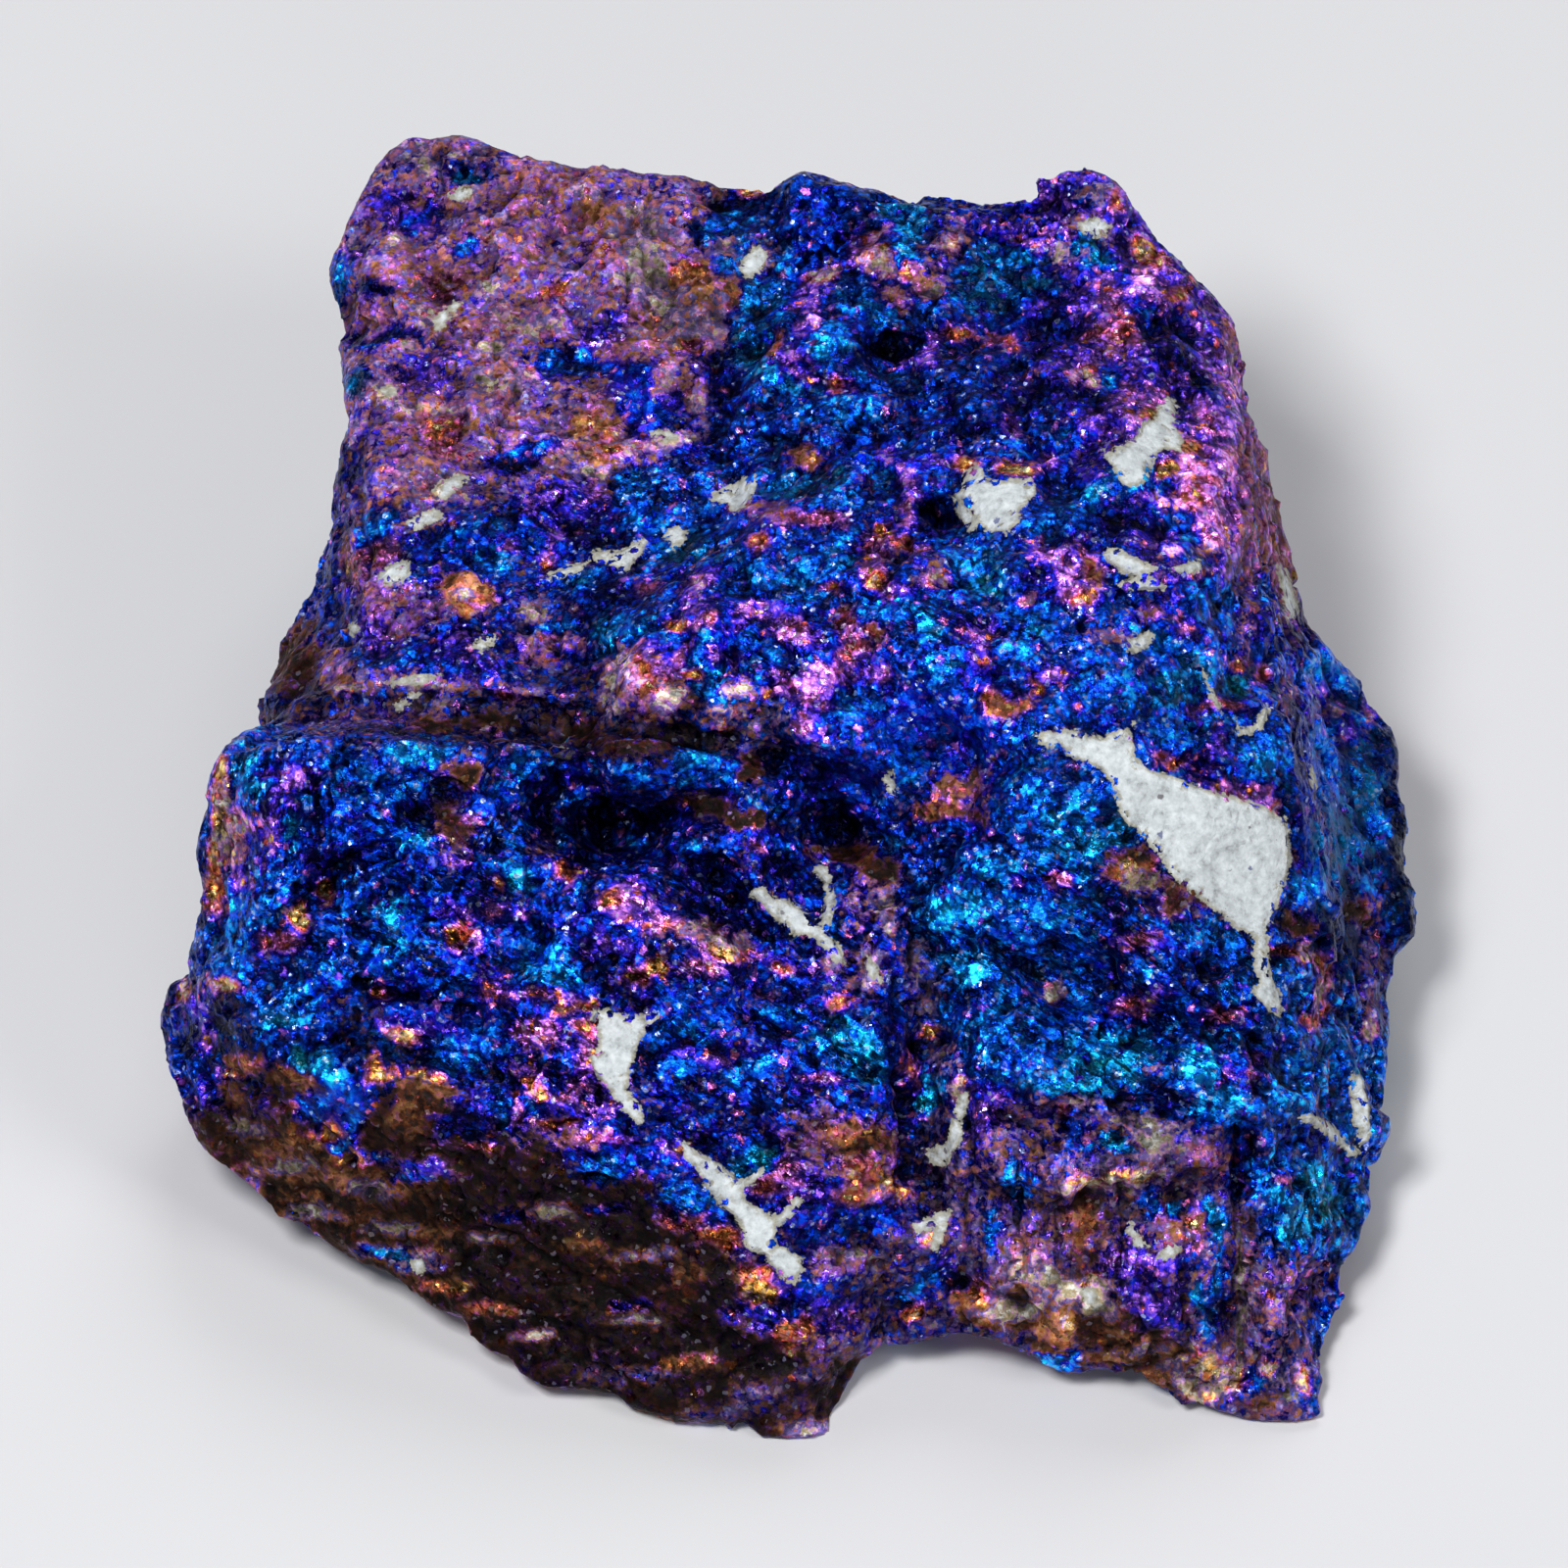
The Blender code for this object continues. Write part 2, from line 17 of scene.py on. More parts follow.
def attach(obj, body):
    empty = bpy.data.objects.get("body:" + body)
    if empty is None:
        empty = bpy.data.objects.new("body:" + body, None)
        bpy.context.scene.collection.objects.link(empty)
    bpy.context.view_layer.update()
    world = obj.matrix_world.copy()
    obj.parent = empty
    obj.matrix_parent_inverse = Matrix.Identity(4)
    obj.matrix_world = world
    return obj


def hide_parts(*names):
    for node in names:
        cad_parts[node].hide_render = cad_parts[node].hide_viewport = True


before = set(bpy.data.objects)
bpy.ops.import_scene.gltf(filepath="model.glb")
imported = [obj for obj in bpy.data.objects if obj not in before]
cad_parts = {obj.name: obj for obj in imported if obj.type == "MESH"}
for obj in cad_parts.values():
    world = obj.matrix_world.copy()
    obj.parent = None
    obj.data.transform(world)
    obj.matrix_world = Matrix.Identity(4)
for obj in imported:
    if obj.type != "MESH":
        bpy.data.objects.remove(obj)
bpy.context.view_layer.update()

MM = 0.001
NODE = "peacock_ore"

# The photograph: its size, its scale on the stone, and where its middle falls in the picture plane
PHOTO_PIXELS = 1600
PIXELS_PER_MM = 25.0
PHOTO_MIDDLE_MM = (-0.17, 4.48)
LOOK_DOWN = math.radians(50.0)
RIGHT = np.array([1.0, 0.0, 0.0])
UP = np.array([0.0, math.sin(LOOK_DOWN), math.cos(LOOK_DOWN)])
TOWARDS_VIEWER = np.array([0.0, -math.cos(LOOK_DOWN), math.sin(LOOK_DOWN)])

# The surface mesh. Below BASE_FLAT, in millimetres, it is pressed flat
VOXEL = 0.21 * MM
TRIANGLES = 196000
SMOOTHING_ROUNDS = 5
BASE_FLAT = 0.05

# Noise over the stone: how its octaves fade and shrink, where a seed moves it to, and how cells differ
OCTAVE_FADE = 0.9
OCTAVE_STEP = 2.0
SEED_STEP = np.array([7.13, 3.71, 5.39])
CELL_SPREAD = 91.7
HALF = Vector((0.5, 0.5, 0.5))

# Relief of the ore in millimetres: noise as (height, size, seed, octaves), and cells as (size, seed)
ROLL = (0.16, 3.4, 71, 3)
CHIPS = [(0.20, (3.2, 81)), (0.13, (1.5, 82)), (0.06, (0.75, 83))]
CHIP_STEEPNESS = 1.6
STREAKS = (0.16, 0.9, 105, 3)
GRAINS = (0.04, 0.5, 101, 2)
JOINT_DEPTH = 0.30
JOINT_WIDTH = 0.09
JOINT_CELLS = (2.1, 103)

# What bends the joints, and the noise that opens some of them between two of its levels
JOINT_BENDS = (0.5, 1.0, 102, 2)
JOINT_PLACES = (1.0, 5.0, 104, 2)
JOINT_OPENING = (0.05, 0.35)

# Noise by which the edges of lumps, clefts and coats wander, as (pixels, size, seed, octaves). Lumps and
# coats wander across the picture and down it. A patch of a coat wanders less if it is small
LUMP_BENDS = [(14.0, 1.3, 141, 2), (14.0, 1.3, 142, 2)]
CLEFT_BENDS = (5.0, 1.2, 121, 2)
COAT_BENDS = [[(26.0, 2.6, 11, 3), (18.0, 0.5, 15, 1)], [(26.0, 2.6, 21, 3), (18.0, 0.5, 25, 1)]]
WANDERING_SIZE = 22.0

# How steeply a lump fades, how much humps between two heights and quartz hold the relief back, how far quartz
# rises, and how much painted shade darkens the tarnish in a cleft
LUMP_FADE = 1.6
HUMP_HOLD = 0.7
HUMP_HEIGHTS = (0.02, 0.16)
QUARTZ_HOLD = 0.8
QUARTZ_EDGE = (-0.05, 0.12)
QUARTZ_RISE = 0.06
CLEFT_SHADE = 0.6

# How many half sizes and pixels around a mark its effect is worked out, and how many around an outline
PATCH_REACH = 2.5
LUMP_REACH = 2.2
MARK_MARGIN = 9
QUARTZ_REACH = 30.0
CLEFT_REACH = 40
FACET_REACH = 90

# Rounds of averaging for near and wider surroundings. For each of them, how much painted shade darkens the
# tarnish in a hollow and how much painted light brightens it on a hump, and the depth and height in
# millimetres at which they do so in full
HOLLOW_ROUNDS = (4, 16)
HOLLOW_SHADES = [((0.75, 0.16), (0.5, 0.12)), ((0.45, 0.40), (0.25, 0.3))]

# Foliation of the ore: the ways that streaks run across the picture. A streak is as many times longer than
# wide as one over its length. A crease, drawn as a thin painted highlight, is where its noise is nearer than
# CREASE to the middle
SLANT = math.radians(31.0)
SLANTING = tuple(math.cos(SLANT) * RIGHT - math.sin(SLANT) * UP)
UPRIGHT = tuple(UP)
STREAK_LENGTH = 0.14
STRAND_LENGTH = 0.28
CREASE = 0.045

# Sizes of the patterns of the ore's colours, in millimetres
WANDER = 0.35
GRAIN = 0.30
FINE_GRAIN = 0.30
CLOUD = 1.1
CLUMP = 0.75
GLINT = 0.17
STREAK = 0.9
STRAND = 0.42
MILKINESS = 0.5
BLEMISH = 0.95

# Where the ore is streaked in each way, and where it hardly sparkles, as (x, y, half width, half height) in
# pixels of the photograph
TEXTURES = {
    "slanting": [
        (1120, 960, 170, 110), (1290, 960, 60, 120), (480, 1240, 260, 110), (640, 1340, 200, 70),
        (820, 1130, 110, 90), (420, 970, 110, 50), (1180, 1100, 110, 50), (600, 480, 160, 60),
        (740, 960, 190, 90), (560, 1050, 150, 80), (700, 1080, 170, 110), (470, 860, 110, 80),
        (880, 640, 180, 50),
    ],
    "upright": [(1090, 1240, 130, 100), (1300, 1300, 70, 120), (270, 850, 90, 110), (980, 1180, 60, 120)],
    "calm": [
        (945, 735, 56, 26), (990, 772, 28, 20), (652, 398, 36, 24), (612, 360, 20, 10), (350, 1112, 22, 40),
        (470, 1195, 60, 14), (1375, 800, 50, 170), (770, 520, 46, 18), (440, 1035, 60, 12),
        (880, 800, 40, 14), (1030, 345, 36, 22),
    ],
}

# The distance from a texture's middle at which it begins to fade and the one at which it ends, in half sizes
TEXTURE_EDGE = (0.7, 1.3)

# Tarnish coats, as (film thickness, brightness, share of earthy grains, earth tone). Brightness is partly the
# tarnish's own tone and partly painted light and shade
COATS = {
    # Painted shadow in pits, recesses and gaps, over deep blue film
    "shadowed_blue": (0.56, 0.13, 0.0, 0.0),
    "navy": (0.56, 0.36, 0.0, 0.0),
    "deep_blue": (0.59, 0.95, 0.0, 0.0),
    "royal": (0.58, 2.30, 0.0, 0.0),
    "azure": (0.69, 1.25, 0.0, 0.0),
    "sky": (0.77, 1.65, 0.0, 0.0),
    "teal": (0.85, 1.00, 0.0, 0.0),
    "deep_teal": (0.77, 0.55, 0.1, 0.66),
    "violet": (0.47, 1.05, 0.0, 0.0),
    "lilac": (0.41, 2.10, 0.0, 0.0),
    # Painted highlight: pale pink where the violet film catches the light
    "pink_highlight": (0.37, 6.20, 0.72, 0.77),
    "magenta": (0.35, 1.50, 0.0, 0.0),
    "crimson": (0.29, 0.55, 0.1, 0.1),
    "copper": (0.20, 1.05, 0.2, 0.3),
    "gold": (0.10, 1.20, 0.2, 0.82),
    "brass": (0.03, 1.35, 0.5, 0.9),
    "rose": (0.38, 0.85, 0.56, 0.42),
    "mauve": (0.52, 0.85, 0.50, 0.54),
    "beige": (0.20, 0.82, 0.72, 0.82),
    "olive": (0.14, 0.36, 1.05, 0.91),
    "amber": (0.14, 1.00, 0.90, 0.29),
    "rust": (0.20, 0.62, 0.68, 0.26),
    "ochre": (0.13, 0.40, 1.00, 0.31),
    "brown": (0.26, 0.13, 0.82, 0.13),
    "slate": (0.62, 0.34, 0.6, 0.68),
    "grey": (0.50, 0.72, 0.85, 0.74),
    "pale": (0.30, 1.15, 0.95, 0.97),
    "shell": (0.36, 2.00, 0.88, 0.81),
    "putty": (0.14, 0.70, 1.10, 0.93),
}

# The hidden side's coat: the middle of each of those four values, and the noise around it
HIDDEN_COAT = [
    (0.60, (0.42, 9.0, 31, 4)),
    (0.75, (0.45, 4.0, 51, 3)),
    (0.25, (1.5, 7.0, 41, 4)),
    (0.40, (0.9, 6.0, 61, 3)),
]

# The noise by which the brightness of the seen side's coats varies
LIGHT_NOISE = (0.5, 1.5, 151, 2)

# Quartz on the hidden side: its noise in pixels, the level above which it shows, and the height in
# millimetres above which it lies. On both sides, OUTSIDE is the depth in pixels away from all quartz
HIDDEN_QUARTZ = (60.0, 5.0, 131, 4)
HIDDEN_QUARTZ_LEVEL = 37.2
HIDDEN_QUARTZ_FOOT = 0.4
OUTSIDE = -40.0

# The coat that each facet of the seen side has between its patches, and the facet's outline. A facet's
# brightness also carries painted light and shade
FACETS = [
    ((0.49, 0.92, 0.60, 0.53), [
        (330, 240), (390, 120), (440, 120), (560, 170), (735, 185), (735, 350), (700, 430), (640, 480),
        (590, 500), (480, 520), (335, 530),
    ]),
    ((0.60, 0.85, 0.20, 0.55), [(335, 530), (480, 520), (590, 500), (640, 600), (560, 690), (320, 700)]),
    ((0.62, 0.62, 0.08, 0.30), [(735, 180), (1030, 200), (1040, 350), (1100, 420), (980, 450), (735, 450)]),
    ((0.48, 1.15, 0.12, 0.50), [
        (1030, 170), (1150, 170), (1250, 300), (1266, 560), (1180, 600), (1040, 400),
    ]),
    ((0.34, 0.50, 0.64, 0.39), [
        (1250, 310), (1280, 330), (1318, 560), (1334, 660), (1292, 640), (1270, 480),
    ]),
    ((0.62, 1.30, 0.08, 0.50), [
        (690, 440), (1040, 400), (1180, 600), (1290, 640), (1300, 750), (900, 760), (640, 600),
    ]),
    ((0.66, 0.14, 0.08, 0.60), [
        (1328, 630), (1400, 690), (1440, 850), (1440, 960), (1400, 1010), (1330, 1010),
    ]),
    # Painted shade in the band under the upper face, over blue film and brown earthy grains
    ((0.60, 0.20, 0.40, 0.30), [
        (300, 690), (560, 690), (760, 740), (780, 790), (560, 775), (400, 755), (280, 750),
    ]),
    ((0.63, 1.10, 0.05, 0.60), [(230, 750), (560, 775), (560, 960), (480, 1010), (170, 1010), (205, 860)]),
    # Painted shade in the recess, over blue film
    ((0.60, 0.46, 0.14, 0.26), [(545, 775), (900, 780), (910, 880), (560, 880)]),
    ((0.59, 0.85, 0.12, 0.44), [
        (560, 880), (910, 880), (930, 1200), (860, 1340), (700, 1210), (560, 1150), (380, 1000), (560, 960),
    ]),
    ((0.62, 0.15, 0.30, 0.14), [(160, 1010), (380, 1010), (400, 1110), (330, 1120), (200, 1150)]),
    # This facet and the next: the lower-left facet's own brown, darker still with painted shade as it faces
    # away from the light
    ((0.28, 0.068, 0.76, 0.22), [(190, 1140), (330, 1110), (440, 1160), (460, 1330), (300, 1270)]),
    ((0.40, 0.044, 0.64, 0.20), [
        (440, 1150), (560, 1180), (640, 1210), (730, 1280), (800, 1340), (880, 1380), (870, 1460),
        (700, 1440), (460, 1350),
    ]),
    ((0.66, 0.80, 0.06, 0.60), [(910, 750), (1130, 760), (1290, 980), (1290, 1130), (950, 1130)]),
    ((0.56, 0.32, 0.50, 0.58), [
        (940, 1130), (1275, 1130), (1275, 1440), (1080, 1350), (880, 1380), (860, 1340),
    ]),
    ((0.68, 0.80, 0.06, 0.60), [(1275, 980), (1410, 1010), (1410, 1230), (1350, 1450), (1275, 1240)]),
    ((0.53, 0.46, 0.72, 0.59), [
        (1268, 1230), (1300, 1262), (1338, 1310), (1345, 1440), (1300, 1450), (1268, 1400),
    ]),
]

# How facets and patches weigh against each other, how steeply a patch fades, over which pixels inside its
# outline a facet's weight grows, and what it weighs far outside. No place weighs less than NO_WEIGHT
FACET_WEIGHT = 0.06
FACET_EDGE = (-60.0, 20.0)
FACET_LEAST = 1e-6
NO_WEIGHT = 1e-9
PATCH_WEIGHT = 600.0
PATCH_FADE = 3.5

# How squarely a surface faces the viewer where the marks of the seen side begin to show and where they do in
# full, for coats and for textures. Quartz shows above one facing, and the hidden side's below another
COAT_FACING = (-0.05, 0.25)
TEXTURE_FACING = (-0.1, 0.2)
QUARTZ_FACING = 0.05
HIDDEN_FACING = -0.1

# Above this share of earthy grains the surface is dull and soft, and below it each face glints on its own
DULL_EARTH = 0.45

# Where each coat lies on the seen side, as (x, y, half width, half height) in pixels of the photograph
PATCHES = {
    # Painted shadow in pits, recesses and gaps, over deep blue film
    "shadowed_blue": [
        (905, 350, 28, 24), (955, 525, 13, 17), (455, 812, 11, 8), (603, 838, 24, 22), (655, 842, 30, 16),
        (620, 868, 40, 8), (850, 842, 15, 14), (1190, 1118, 26, 16), (1270, 1170, 10, 34), (740, 925, 22, 34),
        (1075, 335, 24, 24), (1180, 345, 18, 30), (945, 1065, 14, 12), (975, 1312, 14, 10),
        (800, 890, 26, 12), (425, 830, 16, 14), (330, 905, 16, 16), (1030, 415, 12, 10), (1136, 985, 10, 22),
        (1180, 1010, 24, 7), (735, 205, 14, 9), (1326, 720, 5, 60), (1328, 860, 5, 50), (735, 205, 12, 8),
        (380, 290, 20, 7), (470, 160, 24, 5), (1228, 392, 14, 24), (1204, 368, 16, 10), (1120, 405, 12, 8),
        (1150, 538, 26, 5), (1038, 709, 10, 6), (1330, 938, 10, 6),
    ],
    "navy": [
        (740, 380, 28, 28), (1040, 330, 55, 42), (1070, 405, 46, 16), (1060, 590, 26, 28), (620, 600, 38, 36),
        (350, 880, 46, 22), (720, 880, 36, 26), (860, 790, 56, 26), (1200, 350, 30, 46), (1160, 530, 40, 12),
        (1280, 1085, 18, 36), (1140, 950, 14, 40), (985, 430, 22, 16), (590, 370, 20, 12), (500, 900, 30, 20),
        (560, 800, 26, 14), (1215, 1000, 26, 16), (920, 1110, 14, 44), (830, 1110, 26, 12),
        (470, 1150, 34, 16), (1340, 1165, 40, 18), (1150, 1345, 30, 20), (740, 640, 20, 14),
        (1240, 1330, 14, 20), (600, 545, 40, 10), (520, 470, 30, 8), (350, 480, 14, 20), (1325, 760, 6, 60),
        (1210, 420, 16, 20), (700, 830, 16, 12), (560, 835, 10, 22), (620, 1230, 20, 5), (520, 1240, 20, 5),
        (640, 1330, 24, 5), (660, 425, 16, 10), (690, 400, 10, 14), (640, 385, 12, 10),
    ],
    "deep_blue": [
        (650, 400, 42, 30), (830, 225, 50, 36), (940, 735, 56, 34), (985, 765, 40, 28), (370, 850, 46, 24),
        (980, 850, 46, 30), (1300, 655, 16, 56), (390, 340, 46, 16), (860, 250, 20, 26), (180, 1075, 14, 40),
        (205, 1110, 16, 36), (360, 1130, 16, 32), (430, 1195, 40, 16), (640, 1180, 50, 14),
        (880, 1242, 46, 16), (790, 1335, 36, 22), (440, 1012, 50, 12), (470, 560, 36, 18), (640, 880, 30, 8),
        (540, 540, 26, 14), (1330, 880, 16, 60), (1060, 550, 26, 22), (420, 900, 30, 20), (560, 935, 40, 20),
        (1210, 1010, 40, 20), (1290, 930, 14, 24), (950, 470, 30, 20), (1000, 700, 26, 20),
        (1085, 1160, 24, 24), (780, 1080, 30, 22), (1330, 700, 8, 40), (1335, 800, 8, 60),
        (1080, 480, 26, 10), (600, 520, 40, 12), (430, 560, 40, 14), (300, 1040, 60, 26), (350, 1110, 16, 40),
        (820, 805, 20, 8), (880, 810, 16, 10), (740, 800, 16, 6), (860, 860, 18, 6), (640, 820, 10, 5),
        (372, 1118, 9, 36), (672, 408, 20, 14), (655, 385, 18, 10), (685, 425, 14, 10),
    ],
    "royal": [
        (925, 718, 26, 14), (950, 742, 34, 15), (985, 764, 24, 14), (1000, 700, 14, 8), (890, 700, 12, 8),
        (700, 845, 10, 6), (880, 830, 14, 6), (780, 850, 12, 6), (590, 810, 10, 6), (420, 850, 16, 8),
        (600, 352, 12, 8), (625, 372, 18, 10), (650, 395, 24, 14), (668, 420, 16, 12),
    ],
    "azure": [
        (420, 212, 20, 18), (475, 250, 16, 10), (340, 275, 14, 22), (575, 370, 34, 18), (540, 455, 34, 14),
        (380, 530, 26, 24), (500, 550, 34, 26), (735, 225, 22, 22), (790, 300, 30, 60), (840, 400, 40, 20),
        (870, 410, 24, 20), (845, 345, 26, 14), (900, 320, 22, 12), (1130, 270, 26, 20), (1175, 310, 16, 22),
        (1085, 520, 30, 22), (1090, 445, 26, 14), (1130, 385, 14, 12), (900, 485, 26, 20), (865, 560, 26, 16),
        (820, 595, 36, 28), (760, 575, 34, 20), (780, 660, 36, 30), (735, 690, 34, 20), (930, 620, 46, 34),
        (980, 575, 34, 30), (1030, 660, 24, 20), (1160, 640, 36, 22), (1120, 700, 56, 26),
        (1210, 560, 22, 16), (1240, 615, 36, 24), (1200, 745, 46, 24), (1280, 765, 32, 24),
        (880, 720, 46, 26), (1040, 810, 40, 46), (1350, 680, 26, 20), (1355, 800, 18, 26),
        (1400, 840, 16, 18), (250, 800, 36, 30), (340, 790, 46, 34), (270, 870, 40, 40), (240, 930, 26, 24),
        (240, 965, 30, 14), (540, 780, 30, 16), (710, 785, 36, 16), (620, 785, 44, 10), (780, 820, 24, 18),
        (520, 880, 26, 16), (560, 970, 46, 24), (580, 905, 12, 10), (480, 1065, 34, 20), (700, 1045, 46, 26),
        (760, 1100, 46, 22), (800, 1035, 26, 12), (1030, 1060, 46, 36), (1060, 930, 46, 34),
        (1230, 960, 36, 26), (1320, 985, 26, 26), (1320, 1100, 36, 36), (1340, 905, 20, 18),
        (1370, 1080, 20, 26), (1250, 1135, 26, 18), (1345, 1275, 14, 30), (1345, 1350, 12, 26),
        (1240, 1310, 16, 50), (940, 1315, 30, 24), (700, 1220, 34, 20), (700, 1100, 20, 16),
        (1080, 1385, 18, 8), (1280, 1405, 12, 16), (850, 930, 20, 24), (1040, 1210, 16, 26),
        (1180, 1220, 10, 20), (400, 965, 50, 12), (470, 1000, 30, 16), (620, 1190, 30, 10),
        (530, 1130, 20, 14), (690, 545, 30, 30), (640, 500, 60, 30), (600, 590, 30, 8), (640, 650, 30, 16),
        (430, 670, 60, 20), (600, 1030, 20, 10), (880, 300, 30, 14), (940, 300, 20, 12), (600, 590, 20, 8),
        (560, 640, 24, 10), (1000, 540, 30, 10), (1150, 480, 26, 10), (1060, 620, 20, 12), (960, 680, 20, 12),
        (400, 800, 30, 14), (1350, 760, 10, 30), (1390, 740, 9, 20), (1345, 700, 14, 12), (1400, 900, 9, 14),
        (1300, 1180, 14, 40), (1370, 1150, 16, 20), (585, 815, 14, 7), (640, 862, 20, 5), (692, 800, 14, 8),
        (574, 850, 7, 14), (704, 862, 16, 5), (800, 862, 14, 7), (872, 808, 12, 9), (650, 800, 12, 6),
        (730, 800, 12, 6), (470, 545, 24, 10), (545, 548, 20, 10), (510, 575, 20, 6), (850, 340, 34, 14),
        (825, 345, 12, 16), (1200, 545, 14, 16), (1225, 575, 14, 8), (1290, 600, 8, 16), (1010, 510, 12, 6),
        (350, 1170, 16, 8), (380, 1178, 22, 7), (420, 1205, 22, 6), (300, 1012, 40, 18), (322, 1135, 14, 22),
        (345, 1105, 14, 30), (362, 1140, 10, 20), (328, 1122, 12, 8), (1360, 690, 20, 10), (668, 415, 10, 6),
        (648, 402, 8, 6), (1176, 522, 16, 8), (1230, 1338, 10, 22),
    ],
    "sky": [
        (780, 388, 24, 18), (845, 355, 10, 8), (1035, 262, 44, 18), (940, 240, 18, 20), (920, 215, 30, 10),
        (430, 770, 32, 14), (720, 775, 28, 10), (420, 855, 14, 10), (400, 925, 14, 22), (1080, 830, 24, 16),
        (975, 930, 46, 14), (990, 980, 36, 16), (1110, 870, 20, 14), (1230, 1080, 24, 18),
        (1250, 1120, 20, 14), (1320, 1215, 30, 14), (1330, 1245, 24, 16), (1280, 775, 14, 10),
        (1330, 905, 10, 10), (400, 960, 26, 5), (870, 1090, 40, 16), (1020, 890, 20, 16), (1120, 500, 20, 10),
        (1010, 1250, 8, 24), (600, 355, 8, 8), (1340, 1190, 12, 8), (690, 660, 16, 10), (1120, 1060, 30, 8),
        (1390, 1095, 10, 10), (560, 990, 30, 6), (862, 352, 14, 8), (1196, 530, 10, 8), (800, 395, 14, 8),
        (250, 790, 16, 12), (300, 850, 10, 24), (860, 575, 12, 6), (1204, 528, 12, 12), (950, 640, 12, 10),
        (1060, 645, 10, 8), (1352, 676, 18, 9), (342, 1092, 10, 16), (1196, 1232, 6, 12), (1240, 1250, 8, 22),
        (1240, 1300, 7, 30), (1185, 500, 12, 14), (1208, 545, 14, 8), (1165, 480, 8, 8), (1166, 498, 16, 12),
        (1212, 548, 10, 8), (1222, 1320, 6, 12), (715, 675, 14, 10), (735, 692, 14, 9), (722, 655, 10, 8),
    ],
    "teal": [
        (1130, 860, 50, 26), (1130, 1085, 60, 24), (1090, 1110, 40, 12), (320, 1080, 26, 18),
        (290, 1040, 22, 10), (860, 1060, 36, 26), (1230, 1245, 16, 26), (1350, 1225, 20, 26),
        (1120, 1165, 46, 14), (770, 1180, 34, 16), (1260, 700, 20, 12), (1000, 590, 20, 16),
        (950, 1120, 16, 20), (1110, 250, 20, 30), (1250, 830, 6, 6), (530, 890, 16, 12),
    ],
    "deep_teal": [
        (770, 330, 26, 56), (750, 262, 26, 24), (1010, 290, 40, 18), (700, 560, 30, 16), (820, 490, 40, 20),
        (1200, 700, 26, 20), (1390, 800, 20, 44), (1370, 860, 26, 36), (480, 172, 26, 9), (610, 650, 36, 22),
        (342, 300, 9, 28), (360, 385, 10, 14), (1060, 292, 26, 10), (400, 1275, 40, 7), (1230, 1340, 12, 30),
        (560, 1000, 30, 8), (1150, 830, 20, 10),
    ],
    "violet": [
        (400, 200, 44, 30), (620, 330, 30, 16), (640, 400, 26, 10), (440, 375, 50, 26), (560, 510, 50, 20),
        (870, 245, 16, 20), (1065, 190, 30, 14), (1150, 245, 14, 18), (1245, 330, 10, 30),
        (1130, 430, 30, 10), (1190, 385, 30, 14), (270, 830, 30, 40), (620, 960, 36, 14), (500, 990, 20, 14),
        (610, 1130, 40, 20), (720, 1080, 40, 20), (640, 1040, 30, 20), (830, 1210, 30, 20),
        (860, 1345, 30, 16), (430, 1045, 40, 8), (205, 1040, 8, 30), (1170, 1290, 34, 16),
        (1240, 770, 26, 16), (1380, 750, 14, 12), (470, 660, 50, 20), (600, 790, 30, 12), (380, 1190, 26, 14),
        (1010, 1130, 30, 40), (1170, 1330, 34, 20), (1180, 970, 30, 10), (960, 1300, 20, 20),
        (380, 640, 20, 30), (480, 930, 40, 12), (1230, 460, 30, 14), (1155, 1262, 10, 8),
        (1140, 1290, 20, 12),
    ],
    "lilac": [
        (875, 262, 12, 12), (822, 325, 20, 22), (810, 372, 14, 16), (950, 350, 8, 18), (935, 370, 22, 6),
        (1062, 242, 22, 12), (1168, 272, 18, 16), (1185, 300, 14, 14), (1128, 278, 16, 8),
        (1030, 430, 10, 22), (925, 485, 12, 18), (1245, 505, 16, 24), (1235, 540, 22, 10),
        (1170, 515, 14, 12), (720, 595, 16, 18), (715, 640, 18, 20), (800, 650, 30, 16), (740, 680, 22, 14),
        (840, 690, 24, 16), (910, 600, 22, 10), (1000, 665, 16, 20), (1090, 565, 20, 10), (1095, 590, 14, 12),
        (1080, 690, 20, 10), (1060, 700, 10, 12), (275, 800, 16, 16), (280, 855, 10, 14), (430, 220, 10, 12),
        (490, 965, 5, 10), (540, 930, 14, 10), (640, 905, 16, 6), (655, 930, 16, 8), (600, 1090, 18, 12),
        (560, 1060, 20, 6), (610, 1135, 20, 8), (770, 970, 12, 8), (690, 1170, 14, 8), (730, 1085, 16, 6),
        (1345, 700, 14, 8), (1110, 570, 14, 14), (1250, 1090, 8, 12), (1140, 1280, 16, 6), (940, 1335, 14, 6),
        (1040, 900, 8, 6), (1220, 590, 20, 8), (905, 460, 14, 10), (460, 190, 6, 4), (960, 470, 26, 12),
        (1290, 820, 8, 6), (990, 480, 8, 6), (1235, 490, 26, 30), (1250, 540, 20, 24), (1215, 430, 16, 20),
        (1200, 500, 20, 12), (1180, 400, 14, 16), (1130, 430, 18, 10), (1160, 300, 26, 20),
        (1095, 235, 14, 8), (1225, 590, 26, 12), (1262, 420, 9, 40), (880, 262, 20, 16), (830, 300, 16, 14),
        (760, 640, 26, 16), (690, 680, 20, 12), (300, 790, 26, 14), (265, 850, 20, 30), (250, 900, 12, 14),
        (520, 550, 16, 8), (560, 565, 14, 8), (350, 250, 10, 10), (1000, 640, 24, 16), (1200, 640, 16, 8),
        (700, 610, 10, 14), (828, 300, 18, 28), (884, 262, 24, 18), (1232, 505, 24, 34), (1246, 555, 16, 18),
        (1205, 440, 12, 14), (1172, 285, 30, 18), (1128, 285, 14, 12), (460, 535, 12, 6), (570, 545, 12, 6),
